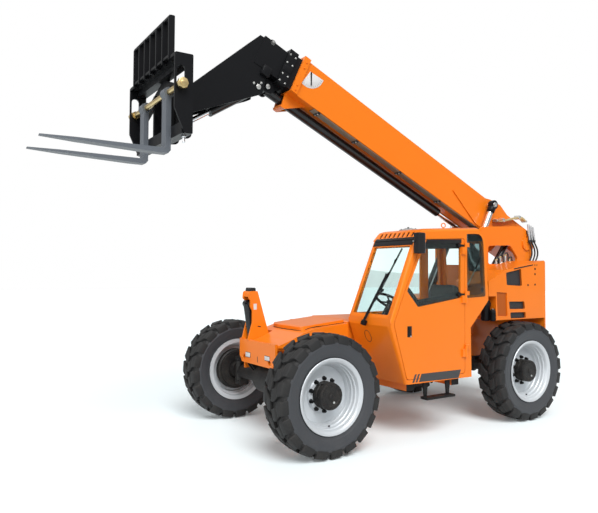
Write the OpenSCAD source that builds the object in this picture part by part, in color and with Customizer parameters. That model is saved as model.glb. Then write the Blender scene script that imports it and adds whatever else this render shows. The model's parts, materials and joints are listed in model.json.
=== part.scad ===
// Rough-terrain telehandler, three-section boom, pallet forks
// Row frame: +X forward, +Y left, +Z up, ground at Z = 0, millimetres

/* [Wheels] */
// wheelbase
wheelbase = 3160; // [2800:10:3600]
// distance between wheel centres across the machine
track = 2110; // [1900:10:2300]
// tyre outside diameter
tyre_od = 1270; // [1100:10:1400]
// tyre width
tyre_w = 370; // [300:10:460]
// lugs on each side of the tread
lug_count = 20; // [12:1:22]

/* [Boom] */
// boom angle as it stands
boom_angle = 24.5; // [-5:0.5:70]
// outer boom width
boom_w = 420; // [360:10:500]
// outer boom depth
boom_h = 470; // [400:10:540]
// outer boom length ahead of the pivot
boom_len = 4367; // [4000:10:4600]
// outer boom tail behind the pivot
boom_tail = 395; // [300:5:450]

/* [Cab] */
// outer face of the cab
cab_out = 1170; // [1100:10:1220]
// inner face of the cab
cab_in = 420; // [400:10:460]
// wall thickness
cab_wall = 40; // [30:1:50]

/* [Forks] */
// tine length
tine_len = 1180; // [1000:10:1500]
// distance of each tine from the middle
tine_y = 345; // [250:5:500]

/* [Hidden] */
front_x = 1000;
rear_x = front_x - wheelbase;
axle_z = tyre_od / 2;
rise = axle_z - 635;
wheel_y = track / 2;
king_y = wheel_y - 255;
tail = rear_x + 2160;
rim_r = 392;
seat_r = 356;
home_pivot = [-3130, 2340];
home_slave = [-2520, 1930];
home_angle = 24.5;
home_len = 4367;
pivot = home_pivot + [tail, 0];
boom_top = 348;
boom_bot = boom_top - boom_h;
lift_a = [-1550 + tail, 1054];
lift_b = boom_at([760, 269.06]);
lift_y = 312;
slave_a = home_slave + [tail, 0];
slave_b = boom_at([209.47, 85.87]);
slave_y = 300;
ext_pin = boom_len + 233;
tilt_t = [1297, 4026];
tilt_q = [2190, 3475];
tilt_k = [2215, 3705];
fork_shaft_p = [2458, 3709];
ext_t = -192;
sway_y = -270;
sway_top = [1195, 1515];
sway_foot = [1085, 860];
gap = 0.3;
hinge_z = [900, 1540, 2120];
$fn = 64;

cab_side = [[-1090, 1240], [-1100, 650], [-50, 650], [185, 1300], [185, 1385], [-190, 2265],
            [-200, 2290], [-1355, 2345], [-1410, 1600], [-1410, 1560]];
cab_inner = [[-1050, 1225], [-1060, 690], [-75, 690], [145, 1300], [145, 1375], [-232, 2255],
             [-240, 2400], [-1315, 2400], [-1370, 1600], [-1370, 1575]];
door_side = [[-985, 705], [-62, 705], [125, 1300], [125, 1345], [-300, 2275], [-985, 2308]];
door_glass_side = [[-925, 1600], [-228, 1507], [-60, 1690], [-335, 2235], [-925, 2262]];
quarter_side = rounded([[-1325, 1640], [-1045, 1625], [-1045, 2290], [-1296, 2303]], [25, 15, 15, 120]);
right_side = [[-1150, 1420], [90, 1420], [-245, 2235], [-1290, 2270], [-1310, 1640]];
tower_side = rounded([[-1950, 1050], [-2130, 1700], [-2130, 2552], [-2980, 2600], [-3250, 2510], [-3300, 2300],
                      [-3180, 1900], [-3180, 1400], [-3055, 1270], [-3055, 1050]],
                     [0.1, 60, 70, 60, 80, 90, 60, 40, 40, 0.1]);
tower_hole = rounded([[-2290, 2030], [-2290, 2288], [-2770, 2310], [-2930, 2130], [-2900, 2030]], [30, 40, 60, 50, 30]);
cover_side = rounded([[-1620, 1600], [-1760, 1600], [-1760, 1290], [-2764, 1290], [-2764, 1120], [-2786, 1120],
                      [-2786, 2085], [-1960, 1940], [-1620, 1791]], [8, 8, 0.1, 0.1, 0.1, 0.1, 36, 40, 20]);
cover_room = [[-1642, 1622], [-1782, 1622], [-1782, 1270], [-2764, 1270], [-2764, 2058], [-1966, 1918], [-1642, 1776]];
low_cover_side = rounded([[-1760, 1290], [-2764, 1290], [-2764, 1120], [-2786, 1120], [-2786, 1580], [-1960, 1560],
                          [-1760, 1520]], [0.1, 0.1, 0.1, 0.1, 36, 40, 20]);
low_cover_room = [[-1782, 1270], [-2764, 1270], [-2764, 1556], [-1966, 1537], [-1782, 1500]];
screen_lap = 7;
screen_sides = [[[-1962, 1904], [-2267, 1958], [-2285, 1729], [-1975, 1744]],
                [[-2016, 1527], [-2330, 1522], [-2344, 1422], [-2030, 1427]],
                [[-2042, 1384], [-2352, 1379], [-2360, 1302], [-2050, 1304]]];
cab_front = [[-50, 650], [185, 1300], [185, 1385], [-190, 2265]];
roof_edge = [[-200, 2290], [-290, 2384], [-350, 2405], [-1215, 2456], [-1355, 2345]];

// A side profile drawn in X and Z, given thickness from y0 to y1
module side(y0, y1) {
    translate([0, y1, 0]) rotate([90, 0, 0]) linear_extrude(y1 - y0) children();
}

// A box by its low and high corners
module box(a, b) {
    translate(a) cube([b[0] - a[0], b[1] - a[1], b[2] - a[2]]);
}

// A bar along Y at a point of the side view
module bar_y(p, r, y0, y1) {
    translate([p[0], y0, p[1]]) rotate([-90, 0, 0]) cylinder(r = r, h = y1 - y0);
}

// Children drawn along the boom: X forward along it, Z square to it, pivot at the origin
module on_boom() {
    translate([pivot[0], 0, pivot[1]]) rotate([0, -boom_angle, 0]) children();
}

// Children drawn along the line from a to b of the side view, X along it, a at the origin
module along(a, b) {
    translate([a[0], 0, a[1]]) rotate([0, -atan2(b[1] - a[1], b[0] - a[0]), 0]) children();
}

// A round bar along X
module bar_x(r, x0, x1) {
    translate([x0, 0, 0]) rotate([0, 90, 0]) cylinder(r = r, h = x1 - x0);
}

// A piece and its mirror image on the other side
module both() {
    children();
    mirror([0, 1, 0]) children();
}

function dist(a, b) = norm([b[0] - a[0], b[1] - a[1]]);
function unit(v) = v / norm(v);

// A point of the boom's own side view, carried to where the boom stands
function boom_at(p) = pivot + [p[0] * cos(boom_angle) - p[1] * sin(boom_angle),
                               p[0] * sin(boom_angle) + p[1] * cos(boom_angle)];

// A closed outline with round corners, one radius for all or one for each
function rounded(p, r, n = 5) = [for (i = [0:len(p) - 1])
    let(a = p[(i + len(p) - 1) % len(p)], b = p[i], c = p[(i + 1) % len(p)], u = unit(a - b), v = unit(c - b),
        half = acos(u * v) / 2, size = is_list(r) ? r[i] : r,
        d = min(size / tan(half), norm(a - b) * 0.49, norm(c - b) * 0.49), q = d * tan(half),
        m = b + unit(u + v) * (q / sin(half)), a0 = b + u * d, a1 = b + v * d,
        t0 = atan2(a0[1] - m[1], a0[0] - m[0]), t1 = atan2(a1[1] - m[1], a1[0] - m[0]),
        turn = ((t1 - t0 + 540) % 360) - 180)
    each (size < 1 ? [b] : [for (k = [0:n]) m + q * [cos(t0 + turn * k / n), sin(t0 + turn * k / n)]])];

// All that rides on the axles, up or down with the tyre size
module raised() {
    translate([0, 0, rise]) children();
}

// Children drawn around the rear axle's first place
module at_rear() {
    translate([tail, 0, 0]) children();
}

// Children of the nose, drawn with the boom at its first angle and length
module on_nose() {
    translate([pivot[0], 0, pivot[1]]) rotate([0, home_angle - boom_angle, 0])
        translate([(boom_len - home_len) * cos(home_angle) - home_pivot[0], 0,
                   (boom_len - home_len) * sin(home_angle) - home_pivot[1]]) children();
}

// A cutter that rounds the edge along a profile, at side face y, s the way the face looks
module round_edge(p, y, s, r) {
    for (i = [0:len(p) - 2]) translate([0, y, 0]) mirror([0, s < 0 ? 1 : 0, 0]) along(p[i], p[i + 1]) difference() {
        box([-r * 0.6, -r, -6], [dist(p[i], p[i + 1]) + r * 0.6, 6, r]);
        translate([0, -r, r]) bar_x(r, -r, dist(p[i], p[i + 1]) + r);
    }
}

// Rails, floor, front plate, sway post and cab brackets, welded
module main_frame() {
    color([0.93, 0.4, 0.08]) {
        both() difference() {
            box([rear_x - 900, 330, 740], [1180, 360, 1050]);
            box([lift_a[0] - 240, 300, 880], [lift_a[0] + 220, 400, 1100]);
        }
        box([rear_x + 280, -331, 740], [800, 331, 760]);
        difference() {
            translate([1180, 0, 0]) rotate([90, 0, 90]) linear_extrude(28)
                polygon([[-360, 815], [360, 815], [425, 890], [425, 1092], [-425, 1092], [-425, 890]]);
            for (y = [-300, 300])
                translate([1170, y, 880]) rotate([0, 90, 0]) cylinder(r = 32, h = 50);
        }
        difference() {
            box([900, -420, 1020], [1180, 420, 1050]);
            box([1050, sway_y - 60, 1000], [1176, sway_y + 60, 1100]);
        }
        box([rear_x - 900, -440, 1020], [rear_x + 260, 440, 1050]);
        box([900, -331, 830], [930, 331, 1021]);
        box([rear_x - 900, -331, 740], [rear_x - 830, 331, 1021]);
        both() difference() {
            for (y = [216, 384]) side(y, y + 24) translate(lift_a) polygon(rounded([[-110, -314], [130, -314],
                [80, 88], [-80, 88]], [0.1, 0.1, 70, 70]));
            bar_y(lift_a, 32 + gap, 200, 420);
        }
        both() box([lift_a[0] - 90, 359, 740], [lift_a[0] + 90, 385, 870]);
        for (x = [-180, -900]) box([x - 60, 359, 560], [x + 60, 1090, 650]);
        for (x = [-180, -900]) box([x - 60, 345, 560], [x + 60, 361, 900]);
        for (x = [-100, -900]) box([x - 60, -1000, 560], [x + 60, -345, 600]);
        for (x = [-100, -900]) box([x - 60, -361, 560], [x + 60, -345, 900]);
        for (y = [-86, 64]) side(sway_y + y, sway_y + y + 22) polygon(rounded([[905, 1045], [1179, 1045],
            [1222, 1090], [1165, 1290], [1165, 1430], [1192, 1480], [1192, 1560], [1214, 1580], [1206, 1668],
            [1096, 1668]], [0.1, 0.1, 18, 60, 40, 20, 12, 14, 30, 14]));
        side(sway_y - 86, sway_y + 86) polygon([[905, 1045], [929, 1045], [1120, 1665], [1096, 1665]]);
        side(sway_y - 86, sway_y + 86) polygon([[1105, 1620], [1206, 1600], [1202, 1645], [1182, 1667], [1105, 1667]]);
    }
}

// Uprights that carry the boom pivot and the tail pins
module tower(s) {
    color([0.93, 0.4, 0.08]) {
        difference() {
            side(400, 440) polygon(tower_side);
            side(390, 450) polygon(tower_hole);
        }
        bar_y(home_pivot, 95, 439, 462);
        bar_y(home_pivot, 50, 222, 441);
        if (s > 0) bar_y(home_slave, 24, slave_y - 28, 401);
        if (s > 0) side(370, 401) polygon([[-2430, 1800], [-2430, 1985], [-2600, 1985], [-2600, 1800]]);
    }
}
module tower_left() { at_rear() tower(1); }
module tower_right() { at_rear() mirror([0, 1, 0]) tower(-1); }

// Front deck and the lid over the valves
module front_hood() {
    color([0.93, 0.4, 0.08]) difference() {
        union() {
            side(-450, 450) polygon(rounded([[1176, 1050], [1176, 1080], [1030, 1126], [850, 1203], [700, 1247],
                                             [217, 1290], [217, 1050]], [0.1, 12, 90, 160, 160, 0.1, 0.1]));
            intersection() {
                side(-350, 350) polygon([[800, 1150], [800, 1258], [770, 1272], [205, 1328], [205, 1150]]);
                translate([0, 0, 1100]) linear_extrude(300)
                    polygon(rounded([[205, -350], [800, -350], [800, 350], [205, 350]], [5, 60, 60, 5]));
            }
        }
        side(-430, 430) polygon([[1150, 1040], [1150, 1066], [1025, 1102], [850, 1176], [700, 1220], [240, 1262],
                                 [240, 1040]]);
        box([890, sway_y - 92, 1040], [1290, sway_y + 92, 1300]);
    }
}

// Cover over the transmission, beside the cab
module mid_cover() {
    color([0.93, 0.4, 0.08]) difference() {
        side(-440, 405) polygon([[200, 1050], [200, 1300], [120, 1330], [-1180, 1330], [-1260, 1250],
                                 [-1260, 1050]]);
        side(-420, 385) polygon([[170, 1040], [170, 1285], [115, 1305], [-1170, 1305], [-1235, 1240],
                                 [-1235, 1040]]);
    }
}

// Cylinder that levels the front axle
module sway_cylinder() {
    color([0.08, 0.08, 0.085]) translate([0, sway_y, 0]) {
        along(sway_top, sway_foot) {
            bar_x(46, 0, 470);
            bar_x(26, 460, 690);
        }
        bar_y(sway_top, 48, -26, 26);
        bar_y(sway_top, 22, -64, 64);
        bar_y(sway_foot, 40, -30, 30);
        side(-62, 62) polygon(rounded([[1108, 1667], [1184, 1667], [1180, 1708], [1112, 1708]], [0.1, 0.1, 16, 16]));
    }
}

// Beam axle with its centre housing and steering yokes
module axle(x) {
    color([0.1, 0.1, 0.105]) {
        difference() {
            union() {
                translate([x, 0, axle_z]) rotate([-90, 0, 0]) cylinder(r = 88, h = 2 * (king_y - 80), center = true);
                translate([x, 0, axle_z]) rotate([-90, 0, 0]) cylinder(r = 175, h = 300, center = true);
                translate([x, 0, axle_z]) rotate([-90, 0, 0]) cylinder(r = 120, h = 560, center = true);
                both() for (z = [-1, 1])
                    translate([x, king_y, axle_z + z * 150]) cylinder(r = 70, h = 46, center = true);
                both() box([x - 70, 322, axle_z], [x + 70, 368, 740 + rise]);
                both() box([x - 60, king_y - 110, axle_z - 173], [x + 60, king_y - 84, axle_z + 173]);
                both() for (z = [-1, 1])
                    box([x - 55, king_y - 100, axle_z + z * 150 - 23], [x + 55, king_y, axle_z + z * 150 + 23]);
            }
            both() translate([x, king_y, axle_z]) cylinder(r = 30 + gap, h = 400, center = true);
        }
    }
}
module front_axle() {
    axle(front_x);
    color([0.1, 0.1, 0.105]) {
        for (y = [-50, 30]) side(sway_y + y, sway_y + y + 20)
            translate([0, rise]) polygon(rounded([[1040, 635], [1165, 800], [1165, 905], [1077, 905], [960, 635]],
                                                 [0.1, 40, 44, 44, 0.1]));
    }
}
module rear_axle() { axle(rear_x); }

// Engine and pump as one plain block
module engine() {
    color([0.2, 0.2, 0.21]) at_rear() {
        box([-2960, -330, 1050], [-2260, 330, 1700]);
        box([-2260, -180, 1050], [-2120, 180, 1350]);
    }
}

// Engine-side covers over the rear wheels
module rear_cover(s) {
    color([0.93, 0.4, 0.08]) at_rear() difference() {
        side(440, 1000) polygon(s > 0 ? cover_side : low_cover_side);
        side(461, 975) polygon(s > 0 ? cover_room : low_cover_room);
        if (s > 0) for (p = screen_sides) side(960, 1020) polygon(rounded(p, 14, 4));
        if (s > 0) side(986, 1010) polygon(rounded([[-1775, 1655], [-1975, 1640], [-1984, 1335], [-1790, 1345]], 10, 3));
        if (s < 0) side(960, 1020) polygon(rounded([[-2040, 1340], [-2700, 1340], [-2700, 1520], [-2040, 1500]], 30));
    }
}
module rear_cover_left() { rear_cover(1); }
module rear_cover_right() { mirror([0, 1, 0]) rear_cover(-1); }

// Dark screens set in the covers' openings, slatted
module cover_meshes() {
    color([0.06, 0.06, 0.065]) at_rear() {
        for (p = screen_sides) side(963, 975)
            polygon([p[0] + screen_lap * [1, 1], p[1] + screen_lap * [-1, 1], p[2] - screen_lap * [1, 1],
                     p[3] + screen_lap * [1, -1]]);
        mirror([0, 1, 0]) side(963, 975) polygon([[-2030, 1330], [-2710, 1330], [-2710, 1530], [-2030, 1510]]);
    }
}

// Cast weight across the tail, with the tow jaw
module counterweight() {
    color([0.93, 0.4, 0.08]) at_rear() difference() {
        union() {
            side(-640, 640) polygon(rounded([[-2990, 600], [-3205, 640], [-3230, 760], [-3230, 1250], [-3060, 1250],
                                             [-3060, 700], [-2990, 690]], [10, 60, 60, 60, 0.1, 0.1, 0.1]));
            for (z = [690, 790]) box([-3330, -90, z], [-3190, 90, z + 36]);
        }
        translate([-3280, 0, 600]) cylinder(r = 21, h = 300);
    }
}

// Fuel and oil tank on the right
module side_tank() {
    color([0.93, 0.4, 0.08]) difference() {
        side(-1060, -445) polygon([[60, 640], [130, 720], [130, 1180], [80, 1240], [-1080, 1240], [-1130, 1190],
                                   [-1130, 650], [-1080, 600], [20, 600]]);
        side(-1040, -465) polygon([[45, 650], [110, 725], [110, 1172], [72, 1220], [-1070, 1220],
                                   [-1110, 1182], [-1110, 658], [-1072, 620], [15, 620]]);
        translate([-300, -750, 590]) cylinder(r = 30, h = 60);
    }
    color([0.93, 0.4, 0.08]) translate([-300, -750, 1235]) cylinder(r = 60, h = 35);
}

// Two upright filters ahead of the rear cover
module filter_canister() {
    color([0.08, 0.08, 0.085]) at_rear() {
        translate([-1695, 885, 1278]) cylinder(r = 58, h = 240);
        translate([-1695, 885, 1517]) cylinder(r = 42, h = 60);
        box([-1760, 850, 1470], [-1690, 920, 1518]);
        translate([-1712, 986, 1278]) cylinder(r = 38, h = 120);
        translate([-1712, 986, 1397]) cylinder(r = 26, h = 40);
        box([-1725, 890, 1372], [-1695, 990, 1397]);
    }
}

// A point on a smooth curve through p, at t of segment i
function knot(p, i) = p[max(0, min(len(p) - 1, i))];
function curve(p, i, t) = let(a = knot(p, i - 1), b = knot(p, i), c = knot(p, i + 1), d = knot(p, i + 2))
    b + 0.5 * t * (c - a) + t * t * (a - 2.5 * b + 2 * c - 0.5 * d) + t * t * t * (1.5 * b - 1.5 * c + 0.5 * d - 0.5 * a);
function path(p, n) = [for (i = [0:len(p) - 2]) for (k = [0:n - 1]) curve(p, i, k / n), p[len(p) - 1]];

// A round hose through the points p
module hose(p, r, n = 4, m = 10) {
    q = path(p, n);
    last = len(q) - 1;
    rings = [for (i = [0:last]) let(t = unit(q[min(last, i + 1)] - q[max(0, i - 1)]),
        u = unit(cross(t, [0.31, 0.95, 0.05])), v = cross(t, u))
        for (k = [0:m - 1]) q[i] + r * cos(360 * k / m) * u + r * sin(360 * k / m) * v];
    walls = [for (i = [0:last - 1]) for (k = [0:m - 1])
        [i * m + k, (i + 1) * m + k, (i + 1) * m + (k + 1) % m, i * m + (k + 1) % m]];
    polyhedron(rings, concat(walls, [[for (k = [0:m - 1]) k]], [[for (k = [m - 1:-1:0]) last * m + k]]));
}

// Hoses from the tower's tail down to the frame
module tail_hoses() {
    color([0.07, 0.07, 0.075]) at_rear() for (i = [0:2])
        hose([[-3140 - i * 48, 451.6, 2530 - i * 20], [-3142 - i * 48, 478, 2450], [-3152 - i * 56, 484, 2370],
              [-3196 - i * 66, 486, 2270], [-3208 - i * 68, 482, 2180], [-3170 - i * 66, 478, 2090],
              [-3122 - i * 40, 468, 1960], [-3060 - i * 14, 452.3, 1820 - i * 40]], 12);
}

// Welded cab body: floor, walls and posts, open where glass and door go
module cab_shell() {
    color([0.93, 0.4, 0.08]) difference() {
        side(cab_in, cab_out) polygon(cab_side);
        side(cab_in + cab_wall, cab_out - cab_wall) polygon(cab_inner);
        side(cab_out - 60, cab_out + 10) polygon(rounded([[-991, 699], [-57, 699], [132, 1300], [132, 1348],
                                                          [-295, 2281], [-991, 2314]], [34, 24, 60, 60, 34, 24]));
        side(cab_out - 60, cab_out + 10) polygon(quarter_side);
        side(cab_in - 10, cab_in + 60) polygon(right_side);
        on_back() box([42, cab_in + 90, -60], [658, cab_out - 90, 20]);
        on_screen() box([45, cab_in + 60, -20], [890, cab_out - 60, 70]);
        round_edge(cab_front, cab_out, 1, 50);
        round_edge(cab_front, cab_in, -1, 30);
    }
    color([0.93, 0.4, 0.08]) for (z = hinge_z) {
        translate([-990, cab_out + 20, z + 90 + gap]) cylinder(r = 14, h = 50);
        box([-1050, cab_out - 1, z + 90 + gap], [-996, cab_out + 22, z + 140 + gap]);
    }
}

// Children drawn on the windscreen: X up the slope, Z into the cab
module on_screen() {
    along([185, 1385], [-190, 2265]) children();
}

// Children drawn on the rear wall: X up, Z out of the cab
module on_back() {
    along([-1410, 1600], [-1355, 2345]) children();
}

// Roof pan with a slotted visor at its front
module cab_roof() {
    color([0.93, 0.4, 0.08]) difference() {
        intersection() {
            side(cab_in, cab_out) polygon(roof_edge);
            along(roof_edge[2], roof_edge[3]) translate([-400, 0, 0]) rotate([90, 0, 90]) linear_extrude(1700)
                polygon(rounded([[cab_in, 0], [cab_out, 0], [cab_out, 500], [cab_in, 500]], [45, 45, 0.1, 0.1]));
        }
        side(cab_in + 50, cab_out - 50) polygon([[-252, 2270], [-345, 2364], [-1200, 2412], [-1290, 2390],
                                                 [-1300, 2320]]);
        along(roof_edge[0], roof_edge[1]) for (i = [0:7]) translate([0, cab_in + 84 + i * 78, 0])
            rotate([0, 0, -12]) box([26, 0, -20], [112, 40, 80]);
    }
}

// Windscreen, right, rear and quarter panes
module cab_glass() {
    color([0.45, 0.62, 0.62]) {
        on_screen() box([45, cab_in + 60, 14], [890, cab_out - 60, 20]);
        side(cab_in + 14, cab_in + 20) polygon(right_side);
        on_back() box([42, cab_in + 90, -26], [658, cab_out - 90, -20]);
        side(cab_out - 20, cab_out - 14) polygon(quarter_side);
    }
}

// Door leaf, hinged at its rear edge
module cab_door() {
    color([0.93, 0.4, 0.08]) {
        difference() {
            side(cab_out - 38, cab_out) polygon(rounded(door_side, [40, 30, 60, 60, 40, 30]));
            round_edge(cab_front, cab_out, 1, 50);
            side(cab_out - 60, cab_out + 10) polygon(rounded(door_glass_side, 16, 3));
            side(cab_out - 60, cab_out - 12) polygon([[-945, 745], [-85, 745], [80, 1300], [20, 1440],
                                                      [-945, 1480]]);
        }
        for (z = hinge_z) translate([-990, cab_out + 20, z]) cylinder(r = 14, h = 90);
        for (z = hinge_z) box([-984, cab_out - 1, z], [-930, cab_out + 22, z + 90]);
    }
}

// Door pane
module door_glass() {
    color([0.45, 0.62, 0.62]) side(cab_out - 24, cab_out - 18) polygon(rounded(door_glass_side, 16, 3));
}

// Seat on its pedestal
module seat() {
    color([0.09, 0.09, 0.095]) {
        box([-980, 640, 690], [-600, 960, 1000]);
        box([-1020, 570, 1000], [-520, 1030, 1110]);
        side(590, 1010) polygon([[-1020, 1080], [-900, 1080], [-960, 1700], [-1000, 1760], [-1060, 1760],
                                 [-1080, 1700]]);
    }
}

// Dash, steering column and wheel
module steering_column() {
    color([0.09, 0.09, 0.095]) {
        side(560, 1030) polygon([[-82, 690], [138, 1300], [138, 1365], [20, 1370], [-60, 1250], [-160, 690]]);
        along([0, 1330], [-150, 1560]) translate([0, 800, 0]) {
            bar_x(32, 0, 250);
            bar_x(48, 240, 275);
            translate([262, 0, 0]) rotate([0, 90, 0]) rotate_extrude()
                polygon([for (k = [0:7]) [185 + 16 * cos(45 * k + 22.5), 16 * sin(45 * k + 22.5)]]);
            for (a = [0, 120, 240]) translate([258, 0, 0]) rotate([a, 0, 0]) cylinder(r = 9, h = 180);
        }
    }
}

// Mirror, wiper and beacon plate
module cab_fittings() {
    color([0.07, 0.07, 0.075]) {
        side(1186, 1284) polygon(rounded([[-208, 2128], [-138, 2128], [-138, 2348], [-208, 2348]], 22));
        box([-222, cab_out, 2135], [-196, 1187, 2215]);
        on_screen() translate([0, 800, 0]) {
            translate([0, 0, -14]) bar_x(7, 28, 560);
            translate([34, 0, -24]) cylinder(r = 12, h = 24);
        }
        along(roof_edge[2], roof_edge[3]) translate([170, 700, -16]) cylinder(r = 110, h = 16);
        along(roof_edge[2], roof_edge[3]) translate([170, 700, -30]) cylinder(r = 34, h = 16);
    }
}

// Step under the door
module cab_step() {
    color([0.1, 0.1, 0.105]) {
        box([-800, 1080, 450], [-345, 1190, 478]);
        for (x = [-780, -420]) side(1090, 1110) polygon([[x, 470], [x + 40, 470], [x + 60, 650], [x - 20, 650]]);
    }
}

// Outer section with tail bosses, mouth collar and the guide under it
module boom_outer() {
    color([0.93, 0.4, 0.08]) on_boom() difference() {
        union() {
            box([-boom_tail, -boom_w / 2, boom_bot], [boom_len, boom_w / 2, boom_top]);
            box([boom_len - 90, -boom_w / 2 - 22, boom_bot], [boom_len, boom_w / 2 + 22, boom_top + 22]);
            both() side(boom_w / 2 - 1, boom_w / 2 + 16)
                polygon([[-360, -100], [-360, 250], [300, 330], [520, 400], [760, 370], [1500, 120], [900, -100]]);
            rotate([-90, 0, 0]) cylinder(r = 100, h = 780, center = true);
            for (y = [-95, 80]) side(y, y + 15) polygon([[boom_len - 320, boom_bot + 5], [boom_len, boom_bot + 5],
                [boom_len - 20, ext_t - 110], [boom_len - 70, ext_t - 110]]);
            side(-90, 90) polygon([[boom_len - 20, ext_t - 110], [boom_len - 70, ext_t - 110],
                                   [boom_len - 90, ext_t - 90], [boom_len - 5, ext_t - 90]]);
            for (y = [-70, 50]) side(y, y + 20) polygon([[200, boom_bot + 5], [430, boom_bot + 5],
                [350, ext_t - 60], [280, ext_t - 60]]);
        }
        box([-boom_tail + 30, -boom_w / 2 + 12, boom_bot + 12], [boom_len + 10, boom_w / 2 - 12, boom_top - 12]);
        rotate([-90, 0, 0]) cylinder(r = 50 + gap, h = 900, center = true);
    }
    color([0.93, 0.4, 0.08]) on_boom() for (y = [-150, 90])
        box([boom_len - 160, y, boom_bot + 11], [boom_len - 20, y + 60, -96 - gap]);
}

// Pipes along the boom and the extend rod
module boom_lines() {
    color([0.75, 0.75, 0.77]) on_boom() {
        for (i = [0:3]) translate([0, 112 + i * 27, boom_bot - 10]) bar_x(10, 620, boom_len - 380);
        translate([0, 0, ext_t]) bar_x(35, 330, ext_pin - 200);
        translate([315, 0, ext_t]) rotate([90, 0, 0]) cylinder(r = 48, h = 100, center = true);
    }
}

// Middle section with its head and the cylinder lug
module boom_mid() {
    color([0.08, 0.08, 0.085]) on_boom() difference() {
        union() {
            box([260, -186, -96], [boom_len + 193, 186, 322]);
            box([boom_len + 73, -206, -116], [boom_len + 193, 206, 342]);
            for (y = [-88, 66]) side(y, y + 22) polygon(rounded([[boom_len + 78, -100], [boom_len + 300, -100],
                [ext_pin + 64, ext_t - 64], [ext_pin - 64, ext_t - 64]], [0.1, 40, 60, 60]));
            box([boom_len + 73, -88, -130], [boom_len + 193, 88, -100]);
        }
        box([250, -175, -85], [boom_len + 333, 175, 311]);
        side(-200, 200) translate([ext_pin, ext_t]) circle(r = 26);
    }
    color([0.08, 0.08, 0.085]) on_boom() for (y = [-140, 90]) {
        box([boom_len + 53, y, -86], [boom_len + 183, y + 50, -72 - gap]);
        box([270, y, 321], [400, y + 50, boom_top - 12 - gap]);
    }
}

// Extend cylinder barrel, pinned to the middle section
module extend_barrel() {
    color([0.08, 0.08, 0.085]) on_boom() translate([0, 0, ext_t]) {
        difference() {
            bar_x(60, 1450, ext_pin - 30);
            bar_x(35 + gap, 1440, 1500);
            bar_x(48, 1499, ext_pin - 100);
        }
        translate([ext_pin, 0, 0]) rotate([90, 0, 0]) cylinder(r = 50, h = 112, center = true);
        translate([ext_pin, 0, 0]) rotate([90, 0, 0]) cylinder(r = 25.9, h = 190, center = true);
    }
}

// Inner section with its bent nose
module boom_fly() {
    color([0.08, 0.08, 0.085]) {
        on_boom() difference() {
            box([500, -164, -72], [boom_len + 533, 164, 298]);
            box([490, -154, -62], [boom_len + 523, 154, 288]);
        }
        on_nose() difference() {
            union() {
                both() side(132, 158) polygon([[2170, 3870], [1270, 4640], [1107, 4570], [1200, 4150], [1240, 3960],
                    [1300, 3930], [2110, 3610], [2232, 3634], [2290, 3700], [2265, 3770]]);
                side(-133, 133) polygon([[2165, 3865], [1270, 4640], [1107, 4570], [1127, 4555], [1262, 4612],
                    [2130, 3870]]);
                side(-133, 133) polygon([[1330, 4180], [1345, 4200], [2130, 3872], [2120, 3852]]);
                bar_y(tilt_k, 62, -133, 133);
            }
            bar_y(tilt_k, 36 + gap, -200, 200);
            bar_y(tilt_t, 30 + gap, -200, 200);
        }
        on_boom() translate([boom_len + 413, 0, 280]) rotate([90, 0, 0]) cylinder(r = 45, h = 300, center = true);
    }
}

// Fork tilt cylinder barrel
module tilt_barrel() {
    color([0.08, 0.08, 0.085]) on_nose() along(tilt_t, tilt_q) {
        difference() {
            union() {
                bar_x(58, 30, 640);
                rotate([90, 0, 0]) cylinder(r = 62, h = 120, center = true);
            }
            bar_x(30 + gap, 600, 650);
            bar_x(46, 75, 601);
        }
        rotate([90, 0, 0]) cylinder(r = 30, h = 304, center = true);
    }
}

// Fork tilt cylinder rod
module tilt_rod() {
    color([0.8, 0.8, 0.82]) on_nose() along(tilt_t, tilt_q) {
        bar_x(30, 420, dist(tilt_t, tilt_q));
        translate([dist(tilt_t, tilt_q), 0, 0]) rotate([90, 0, 0]) cylinder(r = 52, h = 110, center = true);
        translate([dist(tilt_t, tilt_q), 0, 0]) rotate([90, 0, 0]) cylinder(r = 28, h = 318, center = true);
    }
}

// Quick coupler hung on the nose
module coupler() {
    color([0.08, 0.08, 0.085]) on_nose() {
        both() side(164, 188) polygon(rounded([[2300, 3300], [2125, 3320], [2120, 3480], [2150, 3640],
            [2150, 3784], [2300, 3785]], [0.1, 50, 60, 90, 60, 0.1]));
        box([2298, -260, 3280], [2330, 260, 3790]);
        both() bar_y(tilt_q, 28, 187, 202);
        bar_y(tilt_k, 36, -188, 188);
    }
}

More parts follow.
